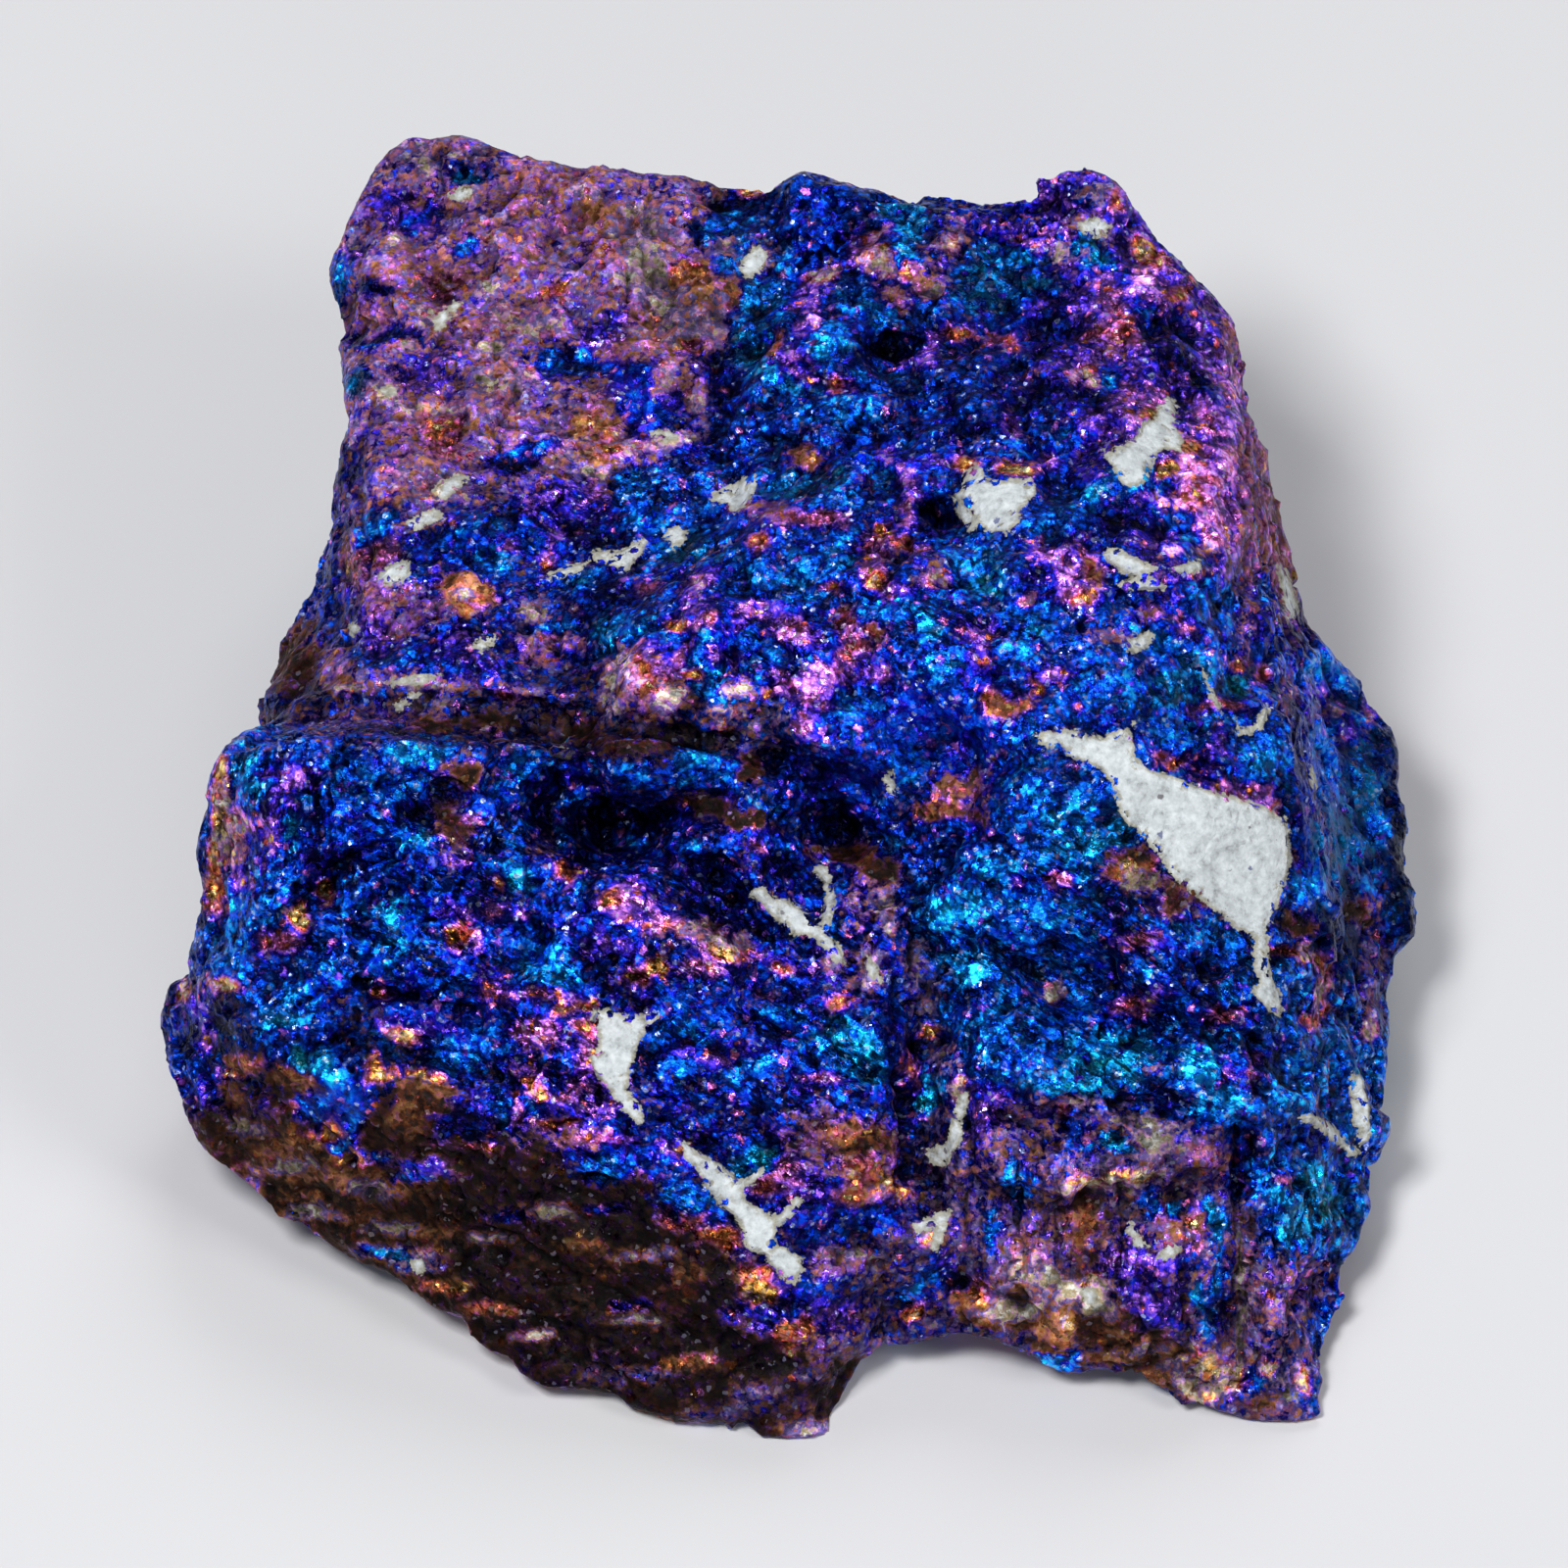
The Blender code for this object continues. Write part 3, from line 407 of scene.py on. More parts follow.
        (1245, 445, 12, 20), (1228, 480, 20, 20), (1240, 530, 20, 24), (1200, 470, 8, 20),
        (1242, 500, 14, 40), (1225, 560, 20, 18), (900, 575, 12, 10), (690, 665, 20, 12), (770, 625, 18, 10),
        (1214, 500, 18, 18), (1240, 524, 14, 26), (1200, 532, 14, 12), (1225, 470, 14, 12),
        (1345, 706, 11, 8), (1222, 515, 12, 18), (1195, 545, 14, 10), (1236, 520, 12, 22), (1246, 470, 7, 14),
    ],
    # Painted highlights on the violet film
    "pink_highlight": [
        (1214, 500, 16, 16), (1240, 520, 12, 22), (1200, 530, 10, 10), (1228, 480, 12, 12),
        (1232, 550, 12, 10), (830, 320, 10, 14), (1165, 275, 10, 8), (884, 262, 8, 8), (560, 1058, 10, 5),
        (1094, 588, 8, 6), (1228, 505, 20, 26), (1212, 470, 10, 10), (1180, 515, 10, 8), (1250, 545, 8, 14),
        (1196, 560, 14, 6), (1210, 490, 10, 12), (1225, 520, 10, 14), (1240, 545, 8, 10), (1245, 500, 7, 14),
        (1205, 515, 8, 8),
    ],
    "magenta": [
        (835, 715, 26, 16), (800, 700, 20, 14), (900, 690, 16, 10), (860, 650, 14, 14), (1225, 470, 22, 14),
        (1215, 500, 18, 12), (930, 520, 12, 16), (900, 570, 18, 14), (1270, 805, 26, 8), (600, 1070, 16, 24),
        (540, 1050, 26, 16), (590, 1110, 30, 10), (500, 1010, 26, 10), (560, 1015, 30, 8), (505, 925, 14, 10),
        (480, 835, 10, 6), (640, 925, 30, 10), (680, 940, 20, 8), (1080, 890, 14, 8), (1150, 400, 14, 8),
        (1220, 420, 14, 16), (805, 1190, 12, 16), (210, 1060, 6, 10), (300, 820, 6, 6), (1225, 1385, 10, 8),
        (840, 1100, 30, 6), (720, 990, 24, 8), (620, 1160, 30, 6), (1110, 345, 16, 6), (820, 745, 10, 10),
        (540, 1090, 20, 8), (1200, 560, 10, 6), (470, 880, 14, 6), (1240, 430, 10, 10), (1240, 520, 14, 16),
        (1225, 550, 14, 8), (1255, 480, 10, 20), (800, 640, 20, 12), (860, 690, 20, 14), (1180, 430, 12, 12),
        (1150, 320, 16, 12), (1070, 470, 14, 8), (890, 575, 10, 16), (1060, 560, 12, 10), (1236, 485, 14, 18),
        (1222, 525, 12, 12), (1190, 262, 16, 10), (1140, 300, 12, 10), (1260, 470, 6, 40),
    ],
    "crimson": [
        (370, 575, 20, 26), (280, 962, 34, 10), (215, 900, 10, 14), (1240, 725, 30, 8), (600, 510, 14, 20),
        (700, 680, 16, 14), (870, 665, 20, 14), (1160, 1025, 30, 10), (1250, 1035, 26, 8),
        (930, 1090, 16, 24), (1085, 1130, 8, 10), (680, 1235, 12, 8), (450, 290, 26, 12), (1155, 960, 30, 8),
        (790, 1205, 26, 10), (650, 995, 18, 10), (1010, 340, 14, 8), (1145, 345, 26, 16), (1000, 1310, 12, 8),
        (1275, 1085, 8, 26), (660, 600, 16, 8), (520, 715, 16, 8), (800, 1290, 10, 8), (700, 350, 16, 10),
        (830, 530, 40, 8), (560, 575, 6, 6), (780, 865, 10, 8), (1310, 1205, 10, 6), (1100, 610, 20, 8),
        (1032, 728, 16, 4),
    ],
    "copper": [
        (475, 605, 24, 22), (600, 445, 24, 22), (440, 440, 26, 18), (700, 275, 14, 18), (970, 332, 14, 10),
        (940, 270, 14, 14), (1140, 195, 6, 14), (930, 555, 14, 10), (780, 550, 12, 10), (725, 630, 12, 12),
        (660, 690, 14, 12), (860, 645, 14, 16), (390, 1012, 14, 8), (580, 888, 12, 10), (815, 1350, 14, 18),
        (805, 1370, 12, 10), (880, 1195, 20, 24), (700, 1242, 20, 8), (740, 1260, 20, 10), (1310, 970, 20, 5),
        (1340, 1040, 20, 8), (1290, 690, 6, 10), (1265, 680, 12, 8), (1220, 500, 12, 8), (800, 985, 12, 8),
        (570, 1145, 24, 6), (470, 955, 16, 10), (1030, 345, 10, 8), (1205, 300, 10, 6), (1350, 985, 8, 16),
        (850, 390, 14, 8), (560, 290, 14, 8), (1100, 720, 4, 4), (1055, 705, 8, 10), (1010, 710, 6, 10),
        (600, 1040, 10, 14), (1190, 775, 10, 6), (860, 1020, 14, 12), (950, 1265, 8, 8), (1000, 1325, 14, 10),
        (480, 1165, 26, 5), (530, 1130, 8, 14), (770, 1298, 14, 7), (300, 1130, 12, 5), (1212, 512, 10, 8),
        (1230, 470, 8, 8), (455, 1312, 22, 6), (500, 1334, 26, 6), (1155, 325, 10, 6), (216, 924, 7, 12),
    ],
    "gold": [
        (770, 190, 14, 8), (1185, 258, 14, 10), (1170, 245, 10, 10), (985, 475, 10, 8), (1040, 478, 24, 6),
        (905, 545, 10, 10), (895, 590, 10, 8), (1175, 420, 10, 6), (1215, 455, 12, 8), (1230, 490, 20, 6),
        (225, 925, 12, 14), (205, 800, 8, 26), (300, 935, 12, 8), (310, 945, 8, 6), (335, 915, 6, 10),
        (580, 900, 6, 14), (510, 900, 8, 6), (740, 972, 24, 8), (620, 915, 14, 10), (670, 990, 14, 8),
        (340, 1155, 10, 8), (1320, 1410, 10, 14), (775, 1310, 12, 8), (690, 640, 8, 6), (740, 745, 10, 4),
        (950, 1050, 12, 6), (935, 1340, 10, 6), (845, 600, 8, 6), (465, 950, 10, 5), (580, 1030, 16, 5),
        (1150, 890, 10, 8), (600, 1025, 10, 6), (550, 1110, 12, 10), (910, 1205, 16, 12), (1150, 880, 4, 4),
        (1210, 1250, 10, 8), (220, 870, 8, 10), (395, 1095, 16, 6), (240, 1095, 10, 4), (710, 690, 6, 4),
        (383, 1082, 6, 12), (440, 1098, 18, 5), (335, 1160, 14, 4), (1228, 1424, 14, 4), (1105, 1305, 10, 4),
        (1225, 500, 12, 8), (1190, 480, 12, 6), (1085, 1352, 7, 14), (1262, 1408, 6, 8), (1218, 460, 8, 8),
        (1228, 512, 8, 10), (1175, 425, 14, 5), (1205, 455, 8, 6), (226, 790, 7, 16), (219, 900, 7, 16),
        (222, 838, 6, 12),
    ],
    "brass": [
        (190, 1010, 9, 14), (225, 1005, 16, 8), (195, 785, 8, 10), (1110, 612, 14, 10), (1160, 1195, 30, 5),
        (1110, 1205, 26, 5), (870, 1190, 10, 6), (1010, 1345, 20, 6), (1290, 1395, 6, 10),
        (1105, 1300, 14, 10), (412, 1053, 14, 7), (1226, 1412, 16, 6), (1232, 1392, 14, 9),
        (1210, 1405, 12, 9), (1235, 1388, 12, 8), (1250, 1404, 9, 8), (1222, 1421, 14, 6), (1263, 1400, 5, 8),
        (1203, 1383, 8, 6), (1242, 1397, 8, 6), (1256, 1398, 7, 6), (1250, 1412, 8, 5), (1328, 1414, 6, 9),
        (1236, 1380, 7, 5), (1214, 1374, 7, 6),
    ],
    "rose": [
        (560, 185, 60, 20), (520, 240, 54, 34), (620, 250, 34, 30), (400, 270, 44, 24), (660, 345, 46, 30),
        (380, 320, 30, 14), (420, 440, 60, 26), (520, 430, 40, 20), (480, 330, 40, 20), (400, 620, 40, 30),
        (600, 415, 30, 24), (1285, 450, 14, 70), (1280, 540, 12, 34), (1300, 1330, 34, 50),
        (960, 270, 26, 26), (920, 300, 20, 10), (1050, 1270, 40, 40), (560, 660, 40, 14), (640, 340, 20, 16),
        (700, 400, 16, 20), (780, 520, 30, 8), (640, 690, 26, 18), (680, 715, 26, 14), (980, 800, 26, 20),
        (1210, 1235, 20, 20), (820, 1170, 30, 16), (1310, 1290, 20, 14), (1230, 1180, 20, 14),
        (870, 1295, 40, 10), (600, 1160, 30, 8), (590, 230, 20, 20), (340, 680, 14, 20), (540, 200, 50, 20),
        (350, 560, 10, 20), (1170, 620, 12, 8),
    ],
    "mauve": [
        (420, 170, 40, 16), (480, 210, 60, 12), (590, 320, 40, 20), (380, 370, 30, 20), (470, 370, 40, 20),
        (540, 400, 40, 20), (600, 500, 40, 24), (370, 450, 20, 40), (480, 500, 60, 30), (430, 540, 40, 14),
        (990, 225, 24, 20), (1330, 1300, 30, 40), (1290, 1380, 26, 30), (1410, 960, 18, 60),
        (1395, 1010, 20, 30), (1040, 1160, 36, 30), (1000, 1230, 36, 50), (1090, 1190, 40, 12),
        (1180, 1260, 40, 30), (950, 580, 26, 14), (1320, 700, 8, 40), (1270, 630, 10, 40), (420, 690, 70, 8),
        (470, 870, 30, 20), (560, 860, 16, 20), (880, 930, 20, 30), (860, 1360, 30, 20), (900, 1380, 16, 20),
        (720, 195, 20, 8), (640, 200, 50, 14), (250, 1200, 20, 20), (1260, 580, 10, 12), (1320, 880, 10, 10),
        (400, 730, 60, 14), (330, 740, 40, 14), (1230, 1290, 8, 50), (490, 160, 10, 8), (1400, 720, 10, 40),
        (840, 1140, 30, 10), (540, 700, 30, 14), (1350, 728, 22, 8), (840, 1290, 20, 14),
        (1300, 1330, 24, 40), (1290, 1290, 14, 20),
    ],
    "beige": [
        (470, 190, 20, 6), (450, 315, 18, 8), (520, 320, 20, 12), (560, 330, 20, 14), (530, 385, 34, 14),
        (440, 415, 30, 6), (400, 350, 20, 6), (395, 395, 14, 8), (600, 450, 16, 10), (680, 390, 12, 24),
        (705, 410, 12, 8), (905, 262, 24, 18), (1110, 385, 14, 12), (640, 685, 20, 14), (690, 705, 12, 10),
        (1165, 250, 8, 8), (450, 500, 20, 10), (840, 275, 16, 8), (590, 190, 20, 6), (500, 240, 10, 8),
        (950, 590, 14, 8), (980, 240, 10, 14), (700, 945, 34, 10), (740, 960, 30, 8), (1040, 1290, 30, 16),
        (1110, 1160, 10, 6), (1300, 830, 6, 10), (1330, 970, 12, 8), (1345, 1010, 8, 14), (240, 860, 14, 30),
        (1140, 1205, 20, 6), (1260, 1400, 8, 8), (980, 1110, 8, 14), (1400, 1050, 8, 12), (340, 240, 6, 8),
        (640, 450, 30, 5), (1050, 610, 10, 5), (545, 1362, 18, 4), (430, 1275, 10, 4), (760, 520, 14, 6),
        (570, 470, 8, 14), (515, 395, 20, 8), (227, 815, 8, 22), (224, 862, 7, 18),
    ],
    "olive": [
        (660, 280, 30, 30), (690, 320, 34, 24), (640, 235, 24, 20), (1215, 1405, 20, 10), (1160, 900, 20, 10),
        (960, 290, 14, 10), (425, 155, 10, 14), (655, 262, 30, 30), (1045, 1338, 24, 10),
        (1110, 1310, 20, 14), (1200, 1400, 20, 8), (380, 1215, 30, 8), (300, 1190, 30, 8), (560, 1235, 30, 6),
        (650, 1345, 26, 6), (500, 1260, 30, 5), (1165, 1372, 34, 10), (1120, 1338, 24, 8),
        (1060, 1322, 20, 7), (1245, 1416, 12, 7), (1190, 1388, 20, 7), (1209, 1412, 9, 8), (1222, 1424, 9, 5),
        (1200, 1398, 6, 7), (250, 1150, 20, 8), (320, 1240, 30, 7), (400, 1250, 24, 6),
    ],
    "amber": [
        (455, 596, 8, 8), (470, 588, 12, 6), (492, 594, 8, 8), (498, 610, 7, 9), (456, 613, 7, 9),
        (476, 625, 13, 6), (588, 440, 8, 14), (612, 432, 10, 8), (608, 464, 10, 8), (1070, 1358, 8, 8),
        (1230, 1404, 12, 6), (1080, 1352, 9, 16), (980, 1330, 10, 10), (1085, 1372, 8, 8), (1080, 1344, 8, 9),
        (1080, 1360, 8, 8),
    ],
    "rust": [
        (700, 280, 16, 20), (1110, 1245, 26, 34), (1200, 1245, 22, 18), (880, 1205, 36, 26),
        (1028, 722, 22, 9), (960, 830, 24, 14), (1150, 890, 26, 16), (980, 800, 20, 14), (740, 300, 12, 14),
        (790, 350, 10, 14), (820, 460, 16, 12), (1120, 585, 10, 14), (250, 1080, 26, 14), (1130, 1360, 30, 8),
        (870, 1150, 40, 12), (900, 650, 10, 8), (1240, 885, 6, 4), (500, 1335, 26, 7), (460, 1310, 20, 6),
        (700, 1388, 24, 8), (1105, 1240, 16, 22), (1212, 1243, 10, 10),
    ],
    "ochre": [
        (330, 1205, 34, 9), (290, 1170, 30, 9), (360, 1180, 26, 8), (400, 1215, 30, 7), (240, 1120, 20, 12),
        (300, 1100, 26, 8), (350, 1240, 30, 6), (420, 1140, 16, 12), (440, 1110, 30, 7), (590, 1270, 26, 6),
        (700, 1300, 14, 8), (1060, 1310, 40, 14), (1080, 1350, 14, 16), (1150, 1360, 30, 8),
        (1010, 1335, 20, 6), (380, 1195, 24, 6), (310, 1225, 24, 6), (450, 1255, 20, 5), (1200, 1395, 24, 10),
        (1240, 1410, 20, 10), (640, 245, 36, 26), (700, 310, 22, 20), (610, 210, 20, 10), (520, 395, 16, 12),
        (505, 375, 12, 10), (1140, 1356, 20, 6), (1215, 1390, 16, 6), (1000, 1346, 16, 6),
        (1290, 1432, 10, 6), (1075, 1376, 16, 6), (1180, 1405, 16, 6), (1140, 1384, 24, 5),
    ],
    "brown": [
        (500, 740, 34, 12), (650, 755, 44, 10), (720, 822, 34, 14), (460, 840, 20, 20), (480, 790, 20, 16),
        (1160, 875, 26, 20), (1200, 920, 30, 16), (870, 1165, 40, 16), (900, 880, 20, 14), (860, 870, 30, 10),
        (300, 680, 20, 30), (1180, 1390, 34, 12), (1100, 1300, 10, 10), (760, 780, 16, 10),
        (1328, 944, 16, 9), (1390, 930, 14, 10), (990, 835, 16, 8), (440, 742, 20, 8), (590, 745, 24, 8),
        (770, 840, 26, 14), (1050, 1325, 30, 5), (1130, 1350, 30, 8), (1180, 1375, 30, 8),
        (1050, 1352, 40, 5), (1150, 1340, 16, 8), (690, 1320, 22, 10), (600, 1330, 30, 12),
        (540, 1290, 30, 12), (620, 1290, 30, 10), (1100, 1350, 20, 8), (1205, 1376, 20, 8),
        (1170, 1358, 16, 8), (1114, 1360, 12, 7), (1140, 1368, 14, 8), (1168, 1380, 13, 8),
        (470, 1190, 24, 8), (300, 1150, 18, 8), (440, 1130, 16, 8),
    ],
    "slate": [
        (450, 150, 60, 10), (760, 1430, 70, 14), (430, 1285, 24, 10), (290, 640, 14, 30), (830, 1400, 14, 8),
        (560, 745, 16, 8), (760, 750, 50, 16), (1310, 1400, 14, 14), (1120, 185, 24, 10), (640, 1400, 40, 10),
        (350, 240, 8, 20), (945, 1010, 20, 34), (960, 1070, 12, 24), (935, 975, 16, 16), (520, 725, 34, 8),
        (430, 722, 30, 6), (640, 735, 30, 7), (1310, 1370, 16, 20), (1300, 1420, 26, 10),
        (1290, 1350, 14, 20),
    ],
    "pale": [
        (640, 686, 20, 15), (684, 712, 16, 12), (745, 700, 18, 8), (602, 484, 12, 10), (625, 700, 12, 8),
        (470, 606, 9, 8), (715, 600, 8, 10), (545, 1362, 14, 4), (1070, 1015, 5, 8), (1262, 1290, 3, 40),
        (1265, 1365, 3, 30), (396, 236, 6, 6), (450, 286, 6, 5), (496, 292, 6, 5), (1092, 1312, 12, 7),
        (1105, 1325, 8, 8), (1084, 1322, 7, 6),
    ],
    "shell": [(641, 682, 10, 12), (652, 694, 8, 8), (676, 712, 9, 14), (684, 722, 7, 8), (758, 698, 6, 7)],
    "putty": [
        (1075, 1300, 26, 14), (1036, 1334, 26, 9), (1110, 1322, 12, 10), (1222, 1398, 14, 10),
        (1170, 1160, 20, 8), (500, 385, 14, 10), (690, 445, 20, 5), (500, 352, 14, 5), (410, 350, 14, 5),
        (350, 700, 20, 4), (1036, 1342, 18, 9), (1020, 1336, 9, 8), (1056, 1336, 9, 8), (1090, 1314, 10, 12),
        (850, 1282, 14, 7), (1030, 1330, 13, 8), (1048, 1341, 11, 8), (1026, 1347, 9, 5),
    ],
    "grey": [
        (770, 262, 16, 16), (740, 250, 12, 8), (1110, 228, 24, 10), (1090, 260, 14, 14), (420, 700, 50, 6),
        (850, 975, 14, 10), (890, 985, 10, 26), (880, 1000, 20, 8), (830, 1456, 30, 9), (1150, 1150, 46, 12),
        (1190, 1175, 26, 10), (870, 1285, 34, 8), (1270, 1330, 7, 60), (905, 920, 12, 26), (660, 1280, 30, 6),
        (540, 620, 12, 14), (470, 610, 8, 8), (1080, 1010, 8, 14), (1100, 1210, 30, 5), (1230, 560, 20, 8),
        (740, 725, 20, 6), (620, 720, 16, 8), (1130, 645, 20, 8), (1090, 1120, 30, 6), (1180, 1090, 20, 4),
    ],
}

# Lumps and pits of the seen side, as (x, y, half width, half height) in pixels and rise in millimetres
LUMPS = [
    (885, 262, 24, 16, 0.30), (825, 330, 22, 28, 0.32), (848, 352, 26, 16, 0.30), (950, 355, 12, 26, 0.38),
    (935, 374, 28, 9, 0.25), (780, 388, 28, 18, 0.30), (1062, 245, 28, 13, 0.28), (1170, 277, 28, 16, 0.30),
    (1110, 228, 32, 18, 0.30), (720, 600, 24, 22, 0.32), (715, 642, 24, 20, 0.28), (640, 682, 28, 20, 0.34),
    (684, 712, 28, 16, 0.34), (742, 690, 38, 22, 0.28), (802, 655, 38, 22, 0.26), (842, 697, 28, 20, 0.26),
    (930, 618, 42, 24, 0.25), (1035, 716, 25, 20, 0.38), (1005, 660, 22, 19, 0.25), (470, 605, 26, 23, 0.16),
    (275, 808, 40, 28, 0.32), (280, 868, 42, 36, 0.32), (432, 780, 42, 16, 0.30), (342, 790, 40, 22, 0.28),
    (540, 786, 32, 14, 0.22), (432, 985, 62, 17, 0.40), (580, 899, 13, 15, 0.30), (490, 965, 15, 20, 0.22),
    (642, 914, 32, 14, 0.26), (702, 942, 42, 11, 0.26), (560, 1060, 42, 12, 0.22), (592, 1110, 38, 13, 0.22),
    (480, 1062, 36, 12, 0.22), (412, 1057, 30, 13, 0.28), (1232, 962, 60, 15, 0.26),
    (1120, 870, 42, 18, 0.24), (982, 940, 46, 15, 0.26), (1000, 986, 42, 14, 0.22),
    (1230, 1085, 42, 17, 0.30), (1122, 1082, 60, 17, 0.26), (1190, 1152, 52, 15, 0.22),
    (1322, 1216, 30, 17, 0.30), (1346, 1276, 17, 26, 0.25), (880, 1196, 32, 24, 0.28),
    (960, 1256, 25, 19, 0.22), (815, 1352, 19, 25, 0.28), (1082, 1366, 20, 25, 0.30),
    (1100, 1312, 32, 20, 0.22), (1240, 482, 27, 30, 0.26), (1220, 540, 25, 20, 0.22),
    (1165, 462, 42, 42, 0.22), (1018, 512, 42, 32, 0.30), (300, 1050, 50, 26, 0.22),
    (700, 1120, 50, 18, 0.20), (860, 1060, 36, 26, 0.26), (1050, 820, 40, 40, 0.25),
    (1290, 770, 26, 20, 0.26), (1160, 640, 34, 18, 0.22), (560, 180, 60, 18, 0.18), (650, 262, 40, 30, 0.20),
    (905, 350, 26, 22, -0.50), (957, 525, 14, 18, -0.60), (452, 812, 24, 13, -0.25),
    (605, 838, 44, 26, -0.25), (662, 836, 36, 26, -0.22), (850, 842, 30, 20, -0.22),
    (425, 832, 18, 12, -0.30), (740, 925, 20, 34, -0.28), (1136, 990, 12, 26, -0.25),
    (1190, 1118, 30, 14, -0.32), (1075, 335, 24, 20, -0.32), (1180, 350, 17, 28, -0.26),
    (1030, 416, 16, 10, -0.22), (800, 892, 28, 10, -0.26), (942, 1030, 20, 40, -0.28),
    (735, 206, 16, 11, -0.26), (590, 372, 22, 12, -0.24), (1040, 332, 40, 28, -0.20),
    (1060, 592, 24, 24, -0.26), (720, 886, 34, 14, -0.26), (430, 1013, 60, 8, -0.30),
    (1205, 925, 32, 16, -0.20), (1286, 1086, 16, 30, -0.26), (1270, 1172, 8, 40, -0.30),
    (560, 747, 60, 9, -0.12), (330, 905, 18, 16, -0.22), (500, 906, 30, 14, -0.22), (1150, 530, 36, 8, -0.22),
]

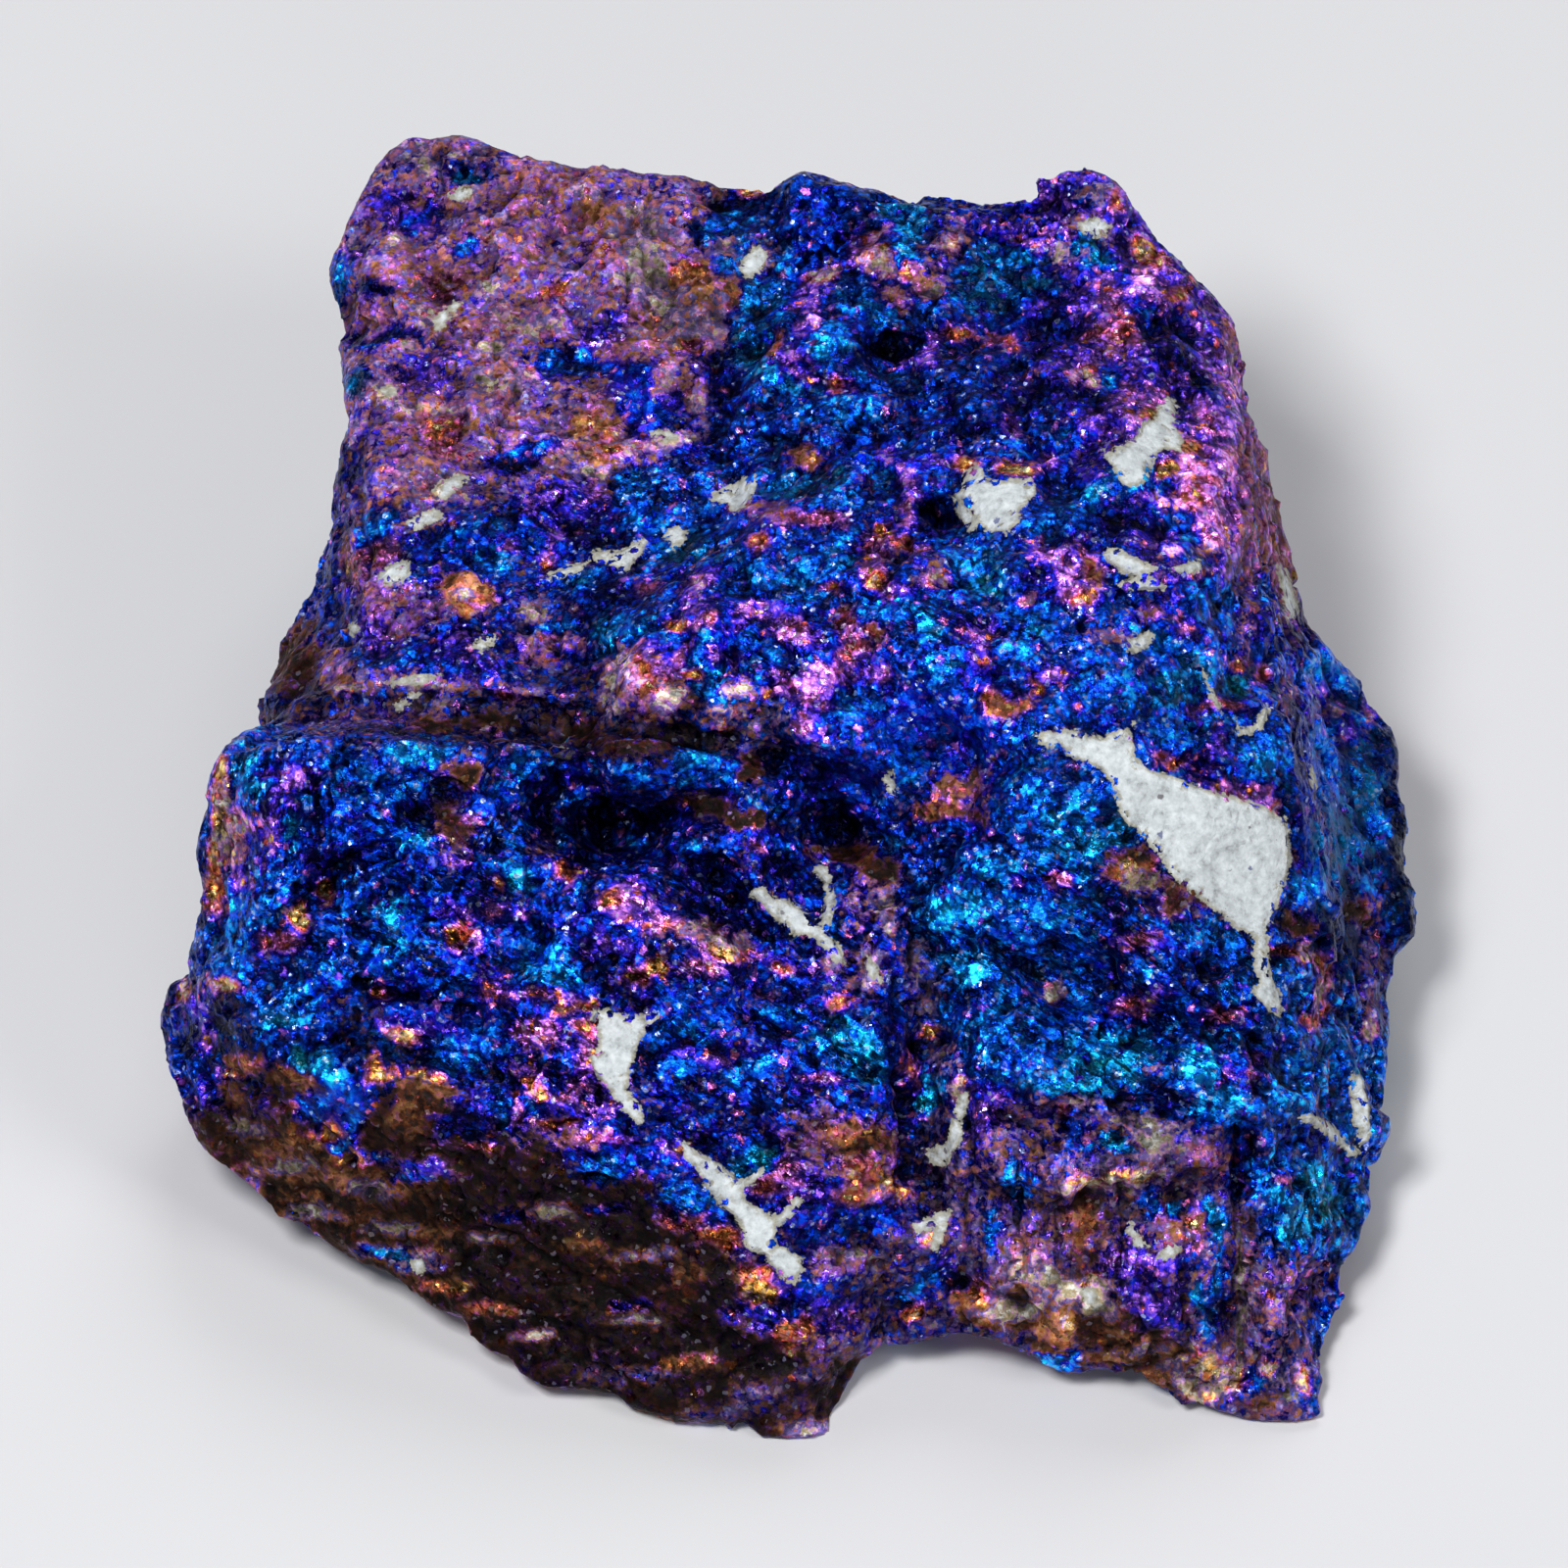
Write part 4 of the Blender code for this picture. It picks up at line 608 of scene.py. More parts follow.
# White quartz, as outlines in pixels of the photograph
QUARTZ = [
    [
        (1056, 750), (1075, 746), (1100, 745), (1112, 752), (1128, 752), (1145, 742), (1154, 752),
        (1157, 772), (1170, 785), (1196, 793), (1215, 801), (1260, 815), (1285, 820), (1300, 832),
        (1312, 834), (1316, 868), (1313, 892), (1304, 915), (1297, 940), (1294, 954), (1292, 965),
        (1294, 987), (1299, 1002), (1304, 1010), (1308, 1024), (1305, 1036), (1295, 1030), (1284, 1022),
        (1276, 1010), (1284, 1002), (1279, 985), (1277, 965), (1278, 955), (1262, 947), (1243, 932),
        (1222, 915), (1200, 898), (1186, 880), (1172, 862), (1158, 847), (1145, 838), (1138, 818),
        (1134, 798), (1120, 782), (1096, 775), (1075, 766), (1062, 760),
    ],
    [
        (985, 482), (1000, 475), (1006, 488), (1022, 490), (1050, 488), (1060, 494), (1052, 512), (1040, 518),
        (1040, 534), (1024, 546), (1006, 540), (996, 528), (988, 512), (975, 512), (970, 506), (984, 498),
    ],
    [(978, 512), (990, 518), (998, 532), (992, 542), (982, 534), (974, 522)],
    [
        (1193, 402), (1202, 412), (1200, 430), (1208, 448), (1204, 460), (1190, 456), (1178, 470),
        (1170, 488), (1160, 498), (1144, 496), (1136, 478), (1124, 458), (1140, 458), (1150, 452),
        (1160, 446), (1166, 432), (1180, 424), (1184, 412),
    ],
    [(1122, 560), (1140, 562), (1160, 570), (1180, 582), (1170, 590), (1150, 588), (1130, 574)],
    [(1136, 596), (1160, 590), (1180, 592), (1190, 602), (1170, 602), (1150, 604)],
    [(1196, 580), (1212, 574), (1228, 572), (1222, 584), (1206, 588)],
    [(1150, 656), (1170, 644), (1178, 650), (1168, 662), (1152, 668)],
    [(722, 504), (748, 494), (770, 480), (772, 498), (762, 514), (750, 524), (742, 514), (728, 512)],
    [(680, 542), (690, 532), (700, 538), (699, 552), (688, 560), (678, 552)],
    [(604, 562), (630, 562), (655, 548), (664, 554), (650, 568), (640, 580), (620, 574), (606, 574)],
    [(384, 590), (400, 574), (414, 570), (418, 586), (408, 594), (396, 598)],
    [(354, 640), (362, 632), (368, 644), (360, 650)],
    [(412, 532), (430, 522), (448, 518), (452, 528), (434, 536), (422, 542)],
    [(446, 492), (466, 482), (476, 486), (464, 500), (450, 508), (440, 500)],
    [(480, 660), (496, 650), (512, 644), (502, 658), (492, 668)],
    [(550, 590), (580, 576), (600, 572), (592, 582), (570, 592)],
    [(394, 694), (420, 690), (450, 688), (448, 694), (420, 700), (400, 700)],
    [(400, 720), (420, 706), (432, 706), (420, 716), (408, 724)],
    [(438, 330), (446, 316), (462, 302), (468, 306), (456, 322), (446, 334)],
    [(452, 190), (470, 184), (484, 190), (470, 198), (456, 200)],
    [(382, 394), (394, 390), (406, 398), (404, 408), (392, 404)],
    [(660, 442), (680, 438), (694, 440), (688, 448), (668, 450)],
    [(1102, 226), (1120, 216), (1140, 228), (1130, 238), (1112, 238)],
    [(752, 268), (762, 256), (776, 244), (784, 262), (774, 276), (760, 280)],
    [
        (604, 1026), (620, 1030), (640, 1036), (655, 1034), (672, 1036), (660, 1048), (652, 1062),
        (646, 1080), (642, 1096), (640, 1108), (648, 1120), (656, 1134), (660, 1148), (648, 1144),
        (634, 1128), (620, 1108), (606, 1090), (602, 1076), (612, 1068), (612, 1054), (606, 1042),
    ],
    [
        (690, 1158), (706, 1168), (718, 1178), (728, 1182), (744, 1192), (756, 1206), (758, 1222),
        (776, 1232), (790, 1242), (792, 1256), (788, 1268), (804, 1272), (818, 1282), (820, 1298),
        (812, 1310), (800, 1306), (790, 1292), (780, 1278), (762, 1272), (758, 1256), (752, 1242),
        (736, 1226), (722, 1210), (712, 1194), (700, 1180),
    ],
    [
        (760, 917), (767, 909), (777, 901), (782, 909), (790, 916), (806, 918), (814, 925), (824, 930),
        (831, 940), (844, 954), (858, 966), (862, 982), (853, 981), (842, 968), (832, 957), (820, 951),
        (812, 953), (803, 947), (793, 939), (784, 931), (776, 922), (769, 916),
    ],
    [
        (829, 885), (838, 881), (845, 888), (849, 902), (853, 916), (848, 932), (846, 944), (842, 954),
        (838, 942), (840, 926), (843, 914), (840, 900), (834, 890),
    ],
    [(880, 972), (892, 982), (902, 1000), (896, 1004), (884, 990)],
    [
        (980, 1112), (988, 1116), (985, 1134), (979, 1142), (981, 1156), (975, 1170), (964, 1188),
        (950, 1187), (940, 1172), (956, 1170), (966, 1164), (968, 1146), (973, 1132),
    ],
    [(930, 1247), (950, 1239), (971, 1233), (966, 1246), (948, 1251), (936, 1258)],
    [(966, 1240), (963, 1260), (953, 1277), (943, 1261), (952, 1263), (957, 1246)],
    [(752, 1206), (764, 1199), (779, 1190), (776, 1200), (762, 1210)],
    [(788, 1246), (800, 1233), (815, 1218), (819, 1224), (806, 1239), (794, 1253)],
    [(420, 1286), (431, 1282), (435, 1296), (424, 1301)],
    [(1376, 1092), (1390, 1100), (1398, 1130), (1396, 1160), (1388, 1170), (1380, 1140), (1376, 1115)],
    [
        (1324, 1140), (1340, 1136), (1358, 1148), (1374, 1164), (1388, 1176), (1380, 1182), (1362, 1166),
        (1344, 1150),
    ],
    [(1306, 576), (1316, 580), (1324, 606), (1328, 630), (1316, 634), (1310, 606)],
    [(1338, 782), (1344, 790), (1344, 810), (1338, 806)],
    [(900, 792), (910, 788), (914, 812), (904, 808)],
    [
        (1176, 1280), (1186, 1272), (1190, 1262), (1196, 1270), (1207, 1268), (1200, 1277), (1190, 1283),
        (1182, 1287),
    ],
    [(1149, 1243), (1156, 1247), (1161, 1259), (1170, 1272), (1166, 1279), (1156, 1268), (1150, 1256)],
    [(1100, 1312), (1116, 1314), (1118, 1330), (1106, 1334)],
    [(1150, 735), (1158, 738), (1150, 746)],
    [(1226, 682), (1233, 696), (1240, 712), (1246, 726), (1240, 725), (1231, 708)],
    [
        (1256, 735), (1264, 741), (1276, 743), (1284, 731), (1291, 718), (1294, 724), (1287, 741),
        (1276, 751), (1262, 749),
    ],
]

# Fine clefts on the seen side, as (half width, depth) in pixels and millimetres, and the points they pass
CLEFTS = [
    (9, 0.26, [(500, 752), (560, 758), (620, 766), (680, 772), (750, 748)]),
    (8, 0.24, [(400, 746), (440, 752), (500, 750)]),
    (5, 0.40, [(912, 1000), (908, 1060), (914, 1110), (926, 1160), (930, 1200)]),
    (4, 0.35, [(1262, 1150), (1258, 1200), (1262, 1260), (1262, 1320), (1266, 1390)]),
    (5, 0.35, [(1140, 945), (1170, 975), (1210, 1005), (1250, 1035), (1285, 1060), (1280, 1110)]),
    (4, 0.30, [(330, 905), (360, 872), (400, 858)]),
    (4, 0.25, [(360, 1000), (420, 1020), (480, 1030)]),
    (4, 0.25, [(1110, 520), (1150, 535), (1190, 548)]),
    (4, 0.25, [(1060, 555), (1100, 552), (1140, 560)]),
    (4, 0.25, [(930, 550), (910, 580), (900, 600)]),
    (4, 0.25, [(600, 1195), (660, 1215), (700, 1250), (740, 1290)]),
    (4, 0.20, [(380, 1180), (430, 1215), (500, 1250), (600, 1300), (700, 1360)]),
    (4, 0.20, [(420, 1290), (500, 1325), (580, 1350), (660, 1390)]),
    (4, 0.20, [(240, 1090), (290, 1130), (340, 1160), (380, 1220)]),
    (4, 0.20, [(700, 870), (720, 900), (730, 940), (726, 970)]),
    (3, 0.20, [(980, 1120), (990, 1180), (985, 1240), (996, 1290)]),
    (3, 0.20, [(1040, 1190), (1036, 1240), (1044, 1300)]),
    (3, 0.20, [(1075, 1200), (1078, 1260), (1074, 1310)]),
    (3, 0.20, [(1140, 1200), (1146, 1250), (1140, 1300), (1160, 1350)]),
    (3, 0.20, [(1204, 1290), (1208, 1340), (1214, 1380)]),
    (4, 0.20, [(1010, 1130), (1060, 1150), (1090, 1180)]),
    (4, 0.20, [(880, 400), (930, 400), (975, 390), (1000, 350)]),
    (4, 0.20, [(730, 360), (730, 410), (760, 440), (820, 450)]),
    (4, 0.20, [(1325, 830), (1332, 900), (1360, 950), (1372, 1010)]),
]

# The colours that a thickening tarnish film runs through on copper ore
FILM_COLOURS = [
    (0.00, (196, 176, 122)),
    (0.10, (214, 158, 72)),
    (0.19, (206, 104, 58)),
    (0.26, (176, 66, 76)),
    (0.33, (196, 98, 164)),
    (0.41, (154, 92, 216)),
    (0.48, (66, 40, 186)),
    (0.56, (8, 18, 160)),
    (0.66, (8, 74, 210)),
    (0.76, (20, 142, 234)),
    (0.87, (16, 128, 150)),
    (1.00, (18, 84, 92)),
]

# Dull earthy grains, from umber to the pale grey of thin quartz
EARTH_COLOURS = [
    (0.00, (44, 30, 26)),
    (0.14, (84, 58, 44)),
    (0.26, (150, 76, 42)),
    (0.32, (156, 114, 60)),
    (0.39, (186, 118, 90)),
    (0.47, (176, 100, 112)),
    (0.57, (112, 84, 152)),
    (0.68, (112, 108, 168)),
    (0.77, (206, 146, 206)),
    (0.84, (196, 172, 144)),
    (0.92, (150, 138, 100)),
    (1.00, (206, 204, 196)),
]

# Milky quartz from its darkest to its whitest, and the specks of other minerals in it
QUARTZ_COLOURS = [
    (0.25, (118, 120, 120)),
    (0.45, (184, 190, 192)),
    (0.60, (206, 212, 214)),
    (0.80, (226, 230, 230)),
]
SPECK_COLOURS = [(0.0, (92, 84, 84)), (1.0, (70, 84, 140))]

# Linear colours: thin quartz lets a warm ground through, a painted glint is cool, and the floor is pale
THIN_QUARTZ = (0.62, 0.56, 0.43, 1.0)
THICK_QUARTZ = (1.0, 1.0, 1.0, 1.0)
ICY_GLINT = (0.75, 0.9, 1.0, 1.0)
FLOOR_COLOUR = (0.62, 0.62, 0.63, 1.0)

# The floor's half size in metres, how far it lies under the stone, and its roughness
FLOOR_SIZE = 3.0
FLOOR_DROP = 0.02 * MM
FLOOR_ROUGHNESS = 0.7

# Square soft lights, as (azimuth, elevation, distance, size, watts). Azimuth 0 is the viewer's side, 90 the
# right. They aim at the stone's middle, under an even sky
LIGHTS = {
    "key": (-35.0, 62.0, 0.55, 0.14, 2.6),
    "right": (62.0, 40.0, 0.60, 0.20, 1.05),
    "back": (170.0, 48.0, 0.60, 0.26, 1.1),
    "front": (8.0, 24.0, 0.70, 0.26, 0.5),
}
STONE_MIDDLE = Vector((0.0, 0.0, 0.012))
SKY_COLOUR = (0.8, 0.85, 1.0, 1.0)
SKY_STRENGTH = 0.12

# The camera: how far it stands from the stone, how far the stone's middle lies before its foot, the width of
# the sensor in millimetres, and the nearest and farthest that it sees
CAMERA_DISTANCE = 1.6
DEPTH_OF_MIDDLE = 14.0 * MM
SENSOR_WIDTH = 36.0
CLIP = (0.05, 20.0)


def unit(value):
    return np.clip(value, 0.0, 1.0)


def eased(low, high, value):
    """0 below low, 1 above high, and a smooth change between them."""
    share = unit((value - low) / (high - low))
    return share * share * (3.0 - 2.0 * share)


def photo_place(points):
    """The pixels of the photograph, as columns x and y, where points in metres show."""
    across = points @ RIGHT / MM - PHOTO_MIDDLE_MM[0]
    up = points @ UP / MM - PHOTO_MIDDLE_MM[1]
    middle = PHOTO_PIXELS / 2.0
    return middle + across * PIXELS_PER_MM, middle - up * PIXELS_PER_MM


def moved(points_mm, size, seed):
    """The points in units of the feature size, moved to a part of the noise that the seed picks."""
    return [Vector(point) for point in points_mm / size + seed * SEED_STEP]


def soft_noise(points_mm, amount, size, seed, octaves):
    """Smooth noise, of about the amount up and down, whose features measure about size millimetres."""
    places = moved(points_mm, size, seed)
    return amount * np.array([noise.fractal(place, OCTAVE_FADE, OCTAVE_STEP, octaves) for place in places])


def cells_around(points_mm, size, seed):
    """Uneven cells of about size: a sloping height and a gap that is 0 where two cells meet."""
    slope = np.empty(len(points_mm))
    gap = np.empty(len(points_mm))
    for index, point in enumerate(moved(points_mm, size, seed)):
        distances, middles = noise.voronoi(point)
        lean = noise.cell_vector(middles[0] * CELL_SPREAD) - HALF
        slope[index] = lean.normalized().dot(point - middles[0])
        gap[index] = distances[1] - distances[0]
    return slope, gap


def box_around(x, y, outline, reach):
    """Whether each place lies within reach of the box around an outline."""
    xs, ys = zip(*outline)
    return (x > min(xs) - reach) & (x < max(xs) + reach) & (y > min(ys) - reach) & (y < max(ys) + reach)


def oval_around(x, y, oval, times):
    """Whether each place lies within some times an oval's half sizes, and a margin, of its middle."""
    middle_x, middle_y, half_width, half_height = oval
    beside = np.abs(x - middle_x) < times * half_width + MARK_MARGIN
    return beside & (np.abs(y - middle_y) < times * half_height + MARK_MARGIN)


def oval_place(x, y, oval):
    """Places measured from an oval's middle, in its half width and its half height."""
    middle_x, middle_y, half_width, half_height = oval
    return (x - middle_x) / half_width, (y - middle_y) / half_height


def line_distance(x, y, points):
    """The distance of each place from a line of points, in pixels."""
    distances = []
    for (ax, ay), (bx, by) in zip(points, points[1:]):
        dx, dy = bx - ax, by - ay
        share = unit(((x - ax) * dx + (y - ay) * dy) / (dx * dx + dy * dy))
        distances.append(np.hypot(x - ax - share * dx, y - ay - share * dy))
    return np.minimum.reduce(distances)


def inside_distance(x, y, outline):
    """How far each place is inside the outline, in pixels, and below zero outside it."""
    closed = [*outline, outline[0]]
    inside = np.zeros(len(x), dtype=bool)
    for (ax, ay), (bx, by) in zip(closed, closed[1:]):
        if ay != by:
            inside ^= ((ay > y) != (by > y)) & (x < (bx - ax) * (y - ay) / (by - ay) + ax)
    distance = line_distance(x, y, closed)
    return np.where(inside, distance, -distance)


def read_points(mesh):
    points = np.empty(len(mesh.vertices) * 3)
    mesh.vertices.foreach_get("co", points)
    normals = np.empty(len(mesh.vertices) * 3)
    mesh.vertex_normals.foreach_get("vector", normals)
    return points.reshape(-1, 3), normals.reshape(-1, 3)


def move_points(mesh, points):
    mesh.vertices.foreach_set("co", points.ravel())
    mesh.update()


def first_corners(mesh):
    """The vertex that each face starts at."""
    vertices = np.empty(len(mesh.loops), dtype=np.int64)
    mesh.loops.foreach_get("vertex_index", vertices)
    starts = np.empty(len(mesh.polygons), dtype=np.int64)
    mesh.polygons.foreach_get("loop_start", starts)
    return vertices[starts]


def add_attribute(mesh, name, values):
    attribute = mesh.attributes.new(name, "FLOAT", "POINT")
    attribute.data.foreach_set("value", np.ascontiguousarray(values, dtype=np.float32))


def add_object(name, data):
    obj = bpy.data.objects.new(name, data)
    bpy.context.collection.objects.link(obj)
    return obj


def with_modifiers(mesh, **modifiers):
    """The mesh as modifiers leave it, each given as its type and a dictionary of its settings."""
    obj = add_object("working", mesh)
    for kind, settings in modifiers.items():
        modifier = obj.modifiers.new(kind, kind)
        for name, value in settings.items():
            setattr(modifier, name, value)
    graph = bpy.context.evaluated_depsgraph_get()
    result = bpy.data.meshes.new_from_object(obj.evaluated_get(graph))
    bpy.data.objects.remove(obj)
    return result


def even_mesh():
    """A closed, even and fine copy of the CAD stone, flat where it rests."""
    mesh = with_modifiers(
        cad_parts[NODE].data.copy(),
        REMESH={"mode": "VOXEL", "voxel_size": VOXEL},
        SMOOTH={"iterations": SMOOTHING_ROUNDS},
    )
    points, _ = read_points(mesh)
    points[points[:, 2] < BASE_FLAT * MM, 2] = 0.0
    move_points(mesh, points)
    return mesh


def quartz_depth(points, normals):
    """How far each place is inside the white quartz, in millimetres, and below zero outside it."""
    x, y = photo_place(points)
    facing = normals @ TOWARDS_VIEWER
    depth = np.full(len(x), OUTSIDE)
    for outline in QUARTZ:
        near = box_around(x, y, outline, QUARTZ_REACH) & (facing > QUARTZ_FACING)
        depth[near] = np.maximum(depth[near], inside_distance(x[near], y[near], outline))
    hidden = (facing < HIDDEN_FACING) & (points[:, 2] > HIDDEN_QUARTZ_FOOT * MM)
    patchy = soft_noise(points[hidden] / MM, *HIDDEN_QUARTZ) - HIDDEN_QUARTZ_LEVEL
    depth[hidden] = np.maximum(depth[hidden], patchy)
    return depth / PIXELS_PER_MM


def front_coats(points):
    """The coat of each point of the seen side: patches, and between them the coat of its facet."""
    x, y = photo_place(points)
    points_mm = points / MM
    sway_x, sway_y = [sum(soft_noise(points_mm, *kind) for kind in kinds) for kinds in COAT_BENDS]
    total = np.zeros((len(x), 4))
    weights = np.zeros(len(x))
    for coat, patches in PATCHES.items():
        for patch in patches:
            half_width, half_height = patch[2:]
            sway = min(1.0, min(half_width, half_height) / WANDERING_SIZE)
            near = np.flatnonzero(oval_around(x, y, patch, PATCH_REACH))
            across, down = oval_place(x[near] + sway * sway_x[near], y[near] + sway * sway_y[near], patch)
            fading = np.exp(-PATCH_FADE * (across**2 + down**2))
            weight = fading * PATCH_WEIGHT / (half_width * half_height)
            total[near] += weight[:, None] * np.array(COATS[coat])
            weights[near] += weight
    for values, outline in FACETS:
        near = np.flatnonzero(box_around(x, y, outline, FACET_REACH))
        depth = inside_distance(x[near] + sway_x[near], y[near] + sway_y[near], outline)
        weight = FACET_WEIGHT * eased(*FACET_EDGE, depth) ** 3 + FACET_LEAST
        total[near] += weight[:, None] * np.array(values)
        weights[near] += weight
    front = total / np.maximum(weights, NO_WEIGHT)[:, None]
    front[:, 1] *= np.exp(soft_noise(points_mm, *LIGHT_NOISE))
    return front


def hidden_coats(points_mm):
    """The coat of each point where the stone isn't seen, by noise alone."""
    film, light, earth, tone = [middle + soft_noise(points_mm, *kind) for middle, kind in HIDDEN_COAT]
    return np.stack([film, light, unit(earth), unit(tone)], axis=-1)


def coats_at(points, normals):
    """The film thickness, brightness, share of earthy grains and earth tone of the tarnish at each point."""
    share = eased(*COAT_FACING, normals @ TOWARDS_VIEWER)[:, None]
    return hidden_coats(points / MM) * (1.0 - share) + front_coats(points) * share


def texture_share(points, normals, name):
    """How strongly the ore has a texture at each point, from 0 to 1."""
    x, y = photo_place(points)
    share = np.zeros(len(points))
    for oval in TEXTURES[name]:
        share = np.maximum(share, 1.0 - eased(*TEXTURE_EDGE, np.hypot(*oval_place(x, y, oval))))
    return share * eased(*TEXTURE_FACING, normals @ TOWARDS_VIEWER)


def cuts(points, normals):
    """For each cleft, which points it reaches, how deep it is, and how far in it each of them lies."""
    x, y = photo_place(points)
    seen = normals @ TOWARDS_VIEWER > 0.0
    for half_width, depth, course in CLEFTS:
        near = box_around(x, y, course, CLEFT_REACH) & seen
        sway = soft_noise(points[near] / MM, *CLEFT_BENDS)
        away = line_distance(x[near] + sway, y[near] + sway, course)
        yield near, depth, np.exp(-((away / half_width) ** 2))


def ore_grain(points, normals):
    """The height of the ore's own unevenness, chips, streaks and fissures, in millimetres."""
    points_mm = points / MM
    height = soft_noise(points_mm, *ROLL)
    for rise, kind in CHIPS:
        slope, _ = cells_around(points_mm, *kind)
        height += rise * CHIP_STEEPNESS * slope
    for name, direction in (("slanting", SLANTING), ("upright", UPRIGHT)):
        along = points_mm @ np.array(direction)
        pressed = points_mm + np.outer(along * (STREAK_LENGTH - 1.0), direction)
        height += texture_share(points, normals, name) * soft_noise(pressed, *STREAKS)
    height += soft_noise(points_mm, *GRAINS)
    _, gap = cells_around(points_mm + soft_noise(points_mm, *JOINT_BENDS)[:, None], *JOINT_CELLS)
    open_joint = eased(*JOINT_OPENING, soft_noise(points_mm, *JOINT_PLACES))
    height -= JOINT_DEPTH * open_joint * (1.0 - eased(0.0, JOINT_WIDTH, gap))
    return height


def relief(mesh):
    """The height of the stone's surface above the even one, in millimetres."""
    points, normals = read_points(mesh)
    height = ore_grain(points, normals)
    x, y = photo_place(points)
    uneven_x, uneven_y = [place + soft_noise(points / MM, *kind) for place, kind in zip((x, y), LUMP_BENDS)]
    seen = normals @ TOWARDS_VIEWER > 0.0
    for *oval, rise in LUMPS:
        near = oval_around(x, y, oval, LUMP_REACH) & seen
        across, down = oval_place(uneven_x[near], uneven_y[near], oval)
        height[near] += rise * np.exp(-LUMP_FADE * (across**2 + down**2))
    for near, depth, cut in cuts(points, normals):
        height[near] -= depth * cut
    _, wide = hollows(mesh, points, normals)
    height *= 1.0 - HUMP_HOLD * eased(*HUMP_HEIGHTS, -wide)
    white = eased(*QUARTZ_EDGE, quartz_depth(points, normals))
    return height * (1.0 - QUARTZ_HOLD * white) + QUARTZ_RISE * white


def hollows(mesh, points, normals):
    """How far each point lies below the mean of its surroundings, near and wider, in millimetres."""
    ends = np.empty(len(mesh.edges) * 2, dtype=np.int64)
    mesh.edges.foreach_get("vertices", ends)
    one, other = ends.reshape(-1, 2).T
    count = np.bincount(one, minlength=len(points)) + np.bincount(other, minlength=len(points))
    mean = points.copy()
    depths = []
    for rounds in HOLLOW_ROUNDS:
        for _ in range(rounds):
            total = mean.copy()
            for axis in range(3):
                total[:, axis] += np.bincount(one, weights=mean[other, axis], minlength=len(points))
                total[:, axis] += np.bincount(other, weights=mean[one, axis], minlength=len(points))
            mean = total / (count + 1)[:, None]
        depths.append(((mean - points) * normals).sum(axis=1) / MM)
    return depths


def hollow_shade(mesh, points, normals):
    """Painted shade that darkens the tarnish in hollows, and painted light that brightens raised grains."""
    shade = 1.0
    for depth, shades in zip(hollows(mesh, points, normals), HOLLOW_SHADES):
        (darker, deep), (brighter, high) = shades
        shade = shade * (1.0 - darker * eased(0.0, deep, depth) + brighter * eased(0.0, high, -depth))
    return shade


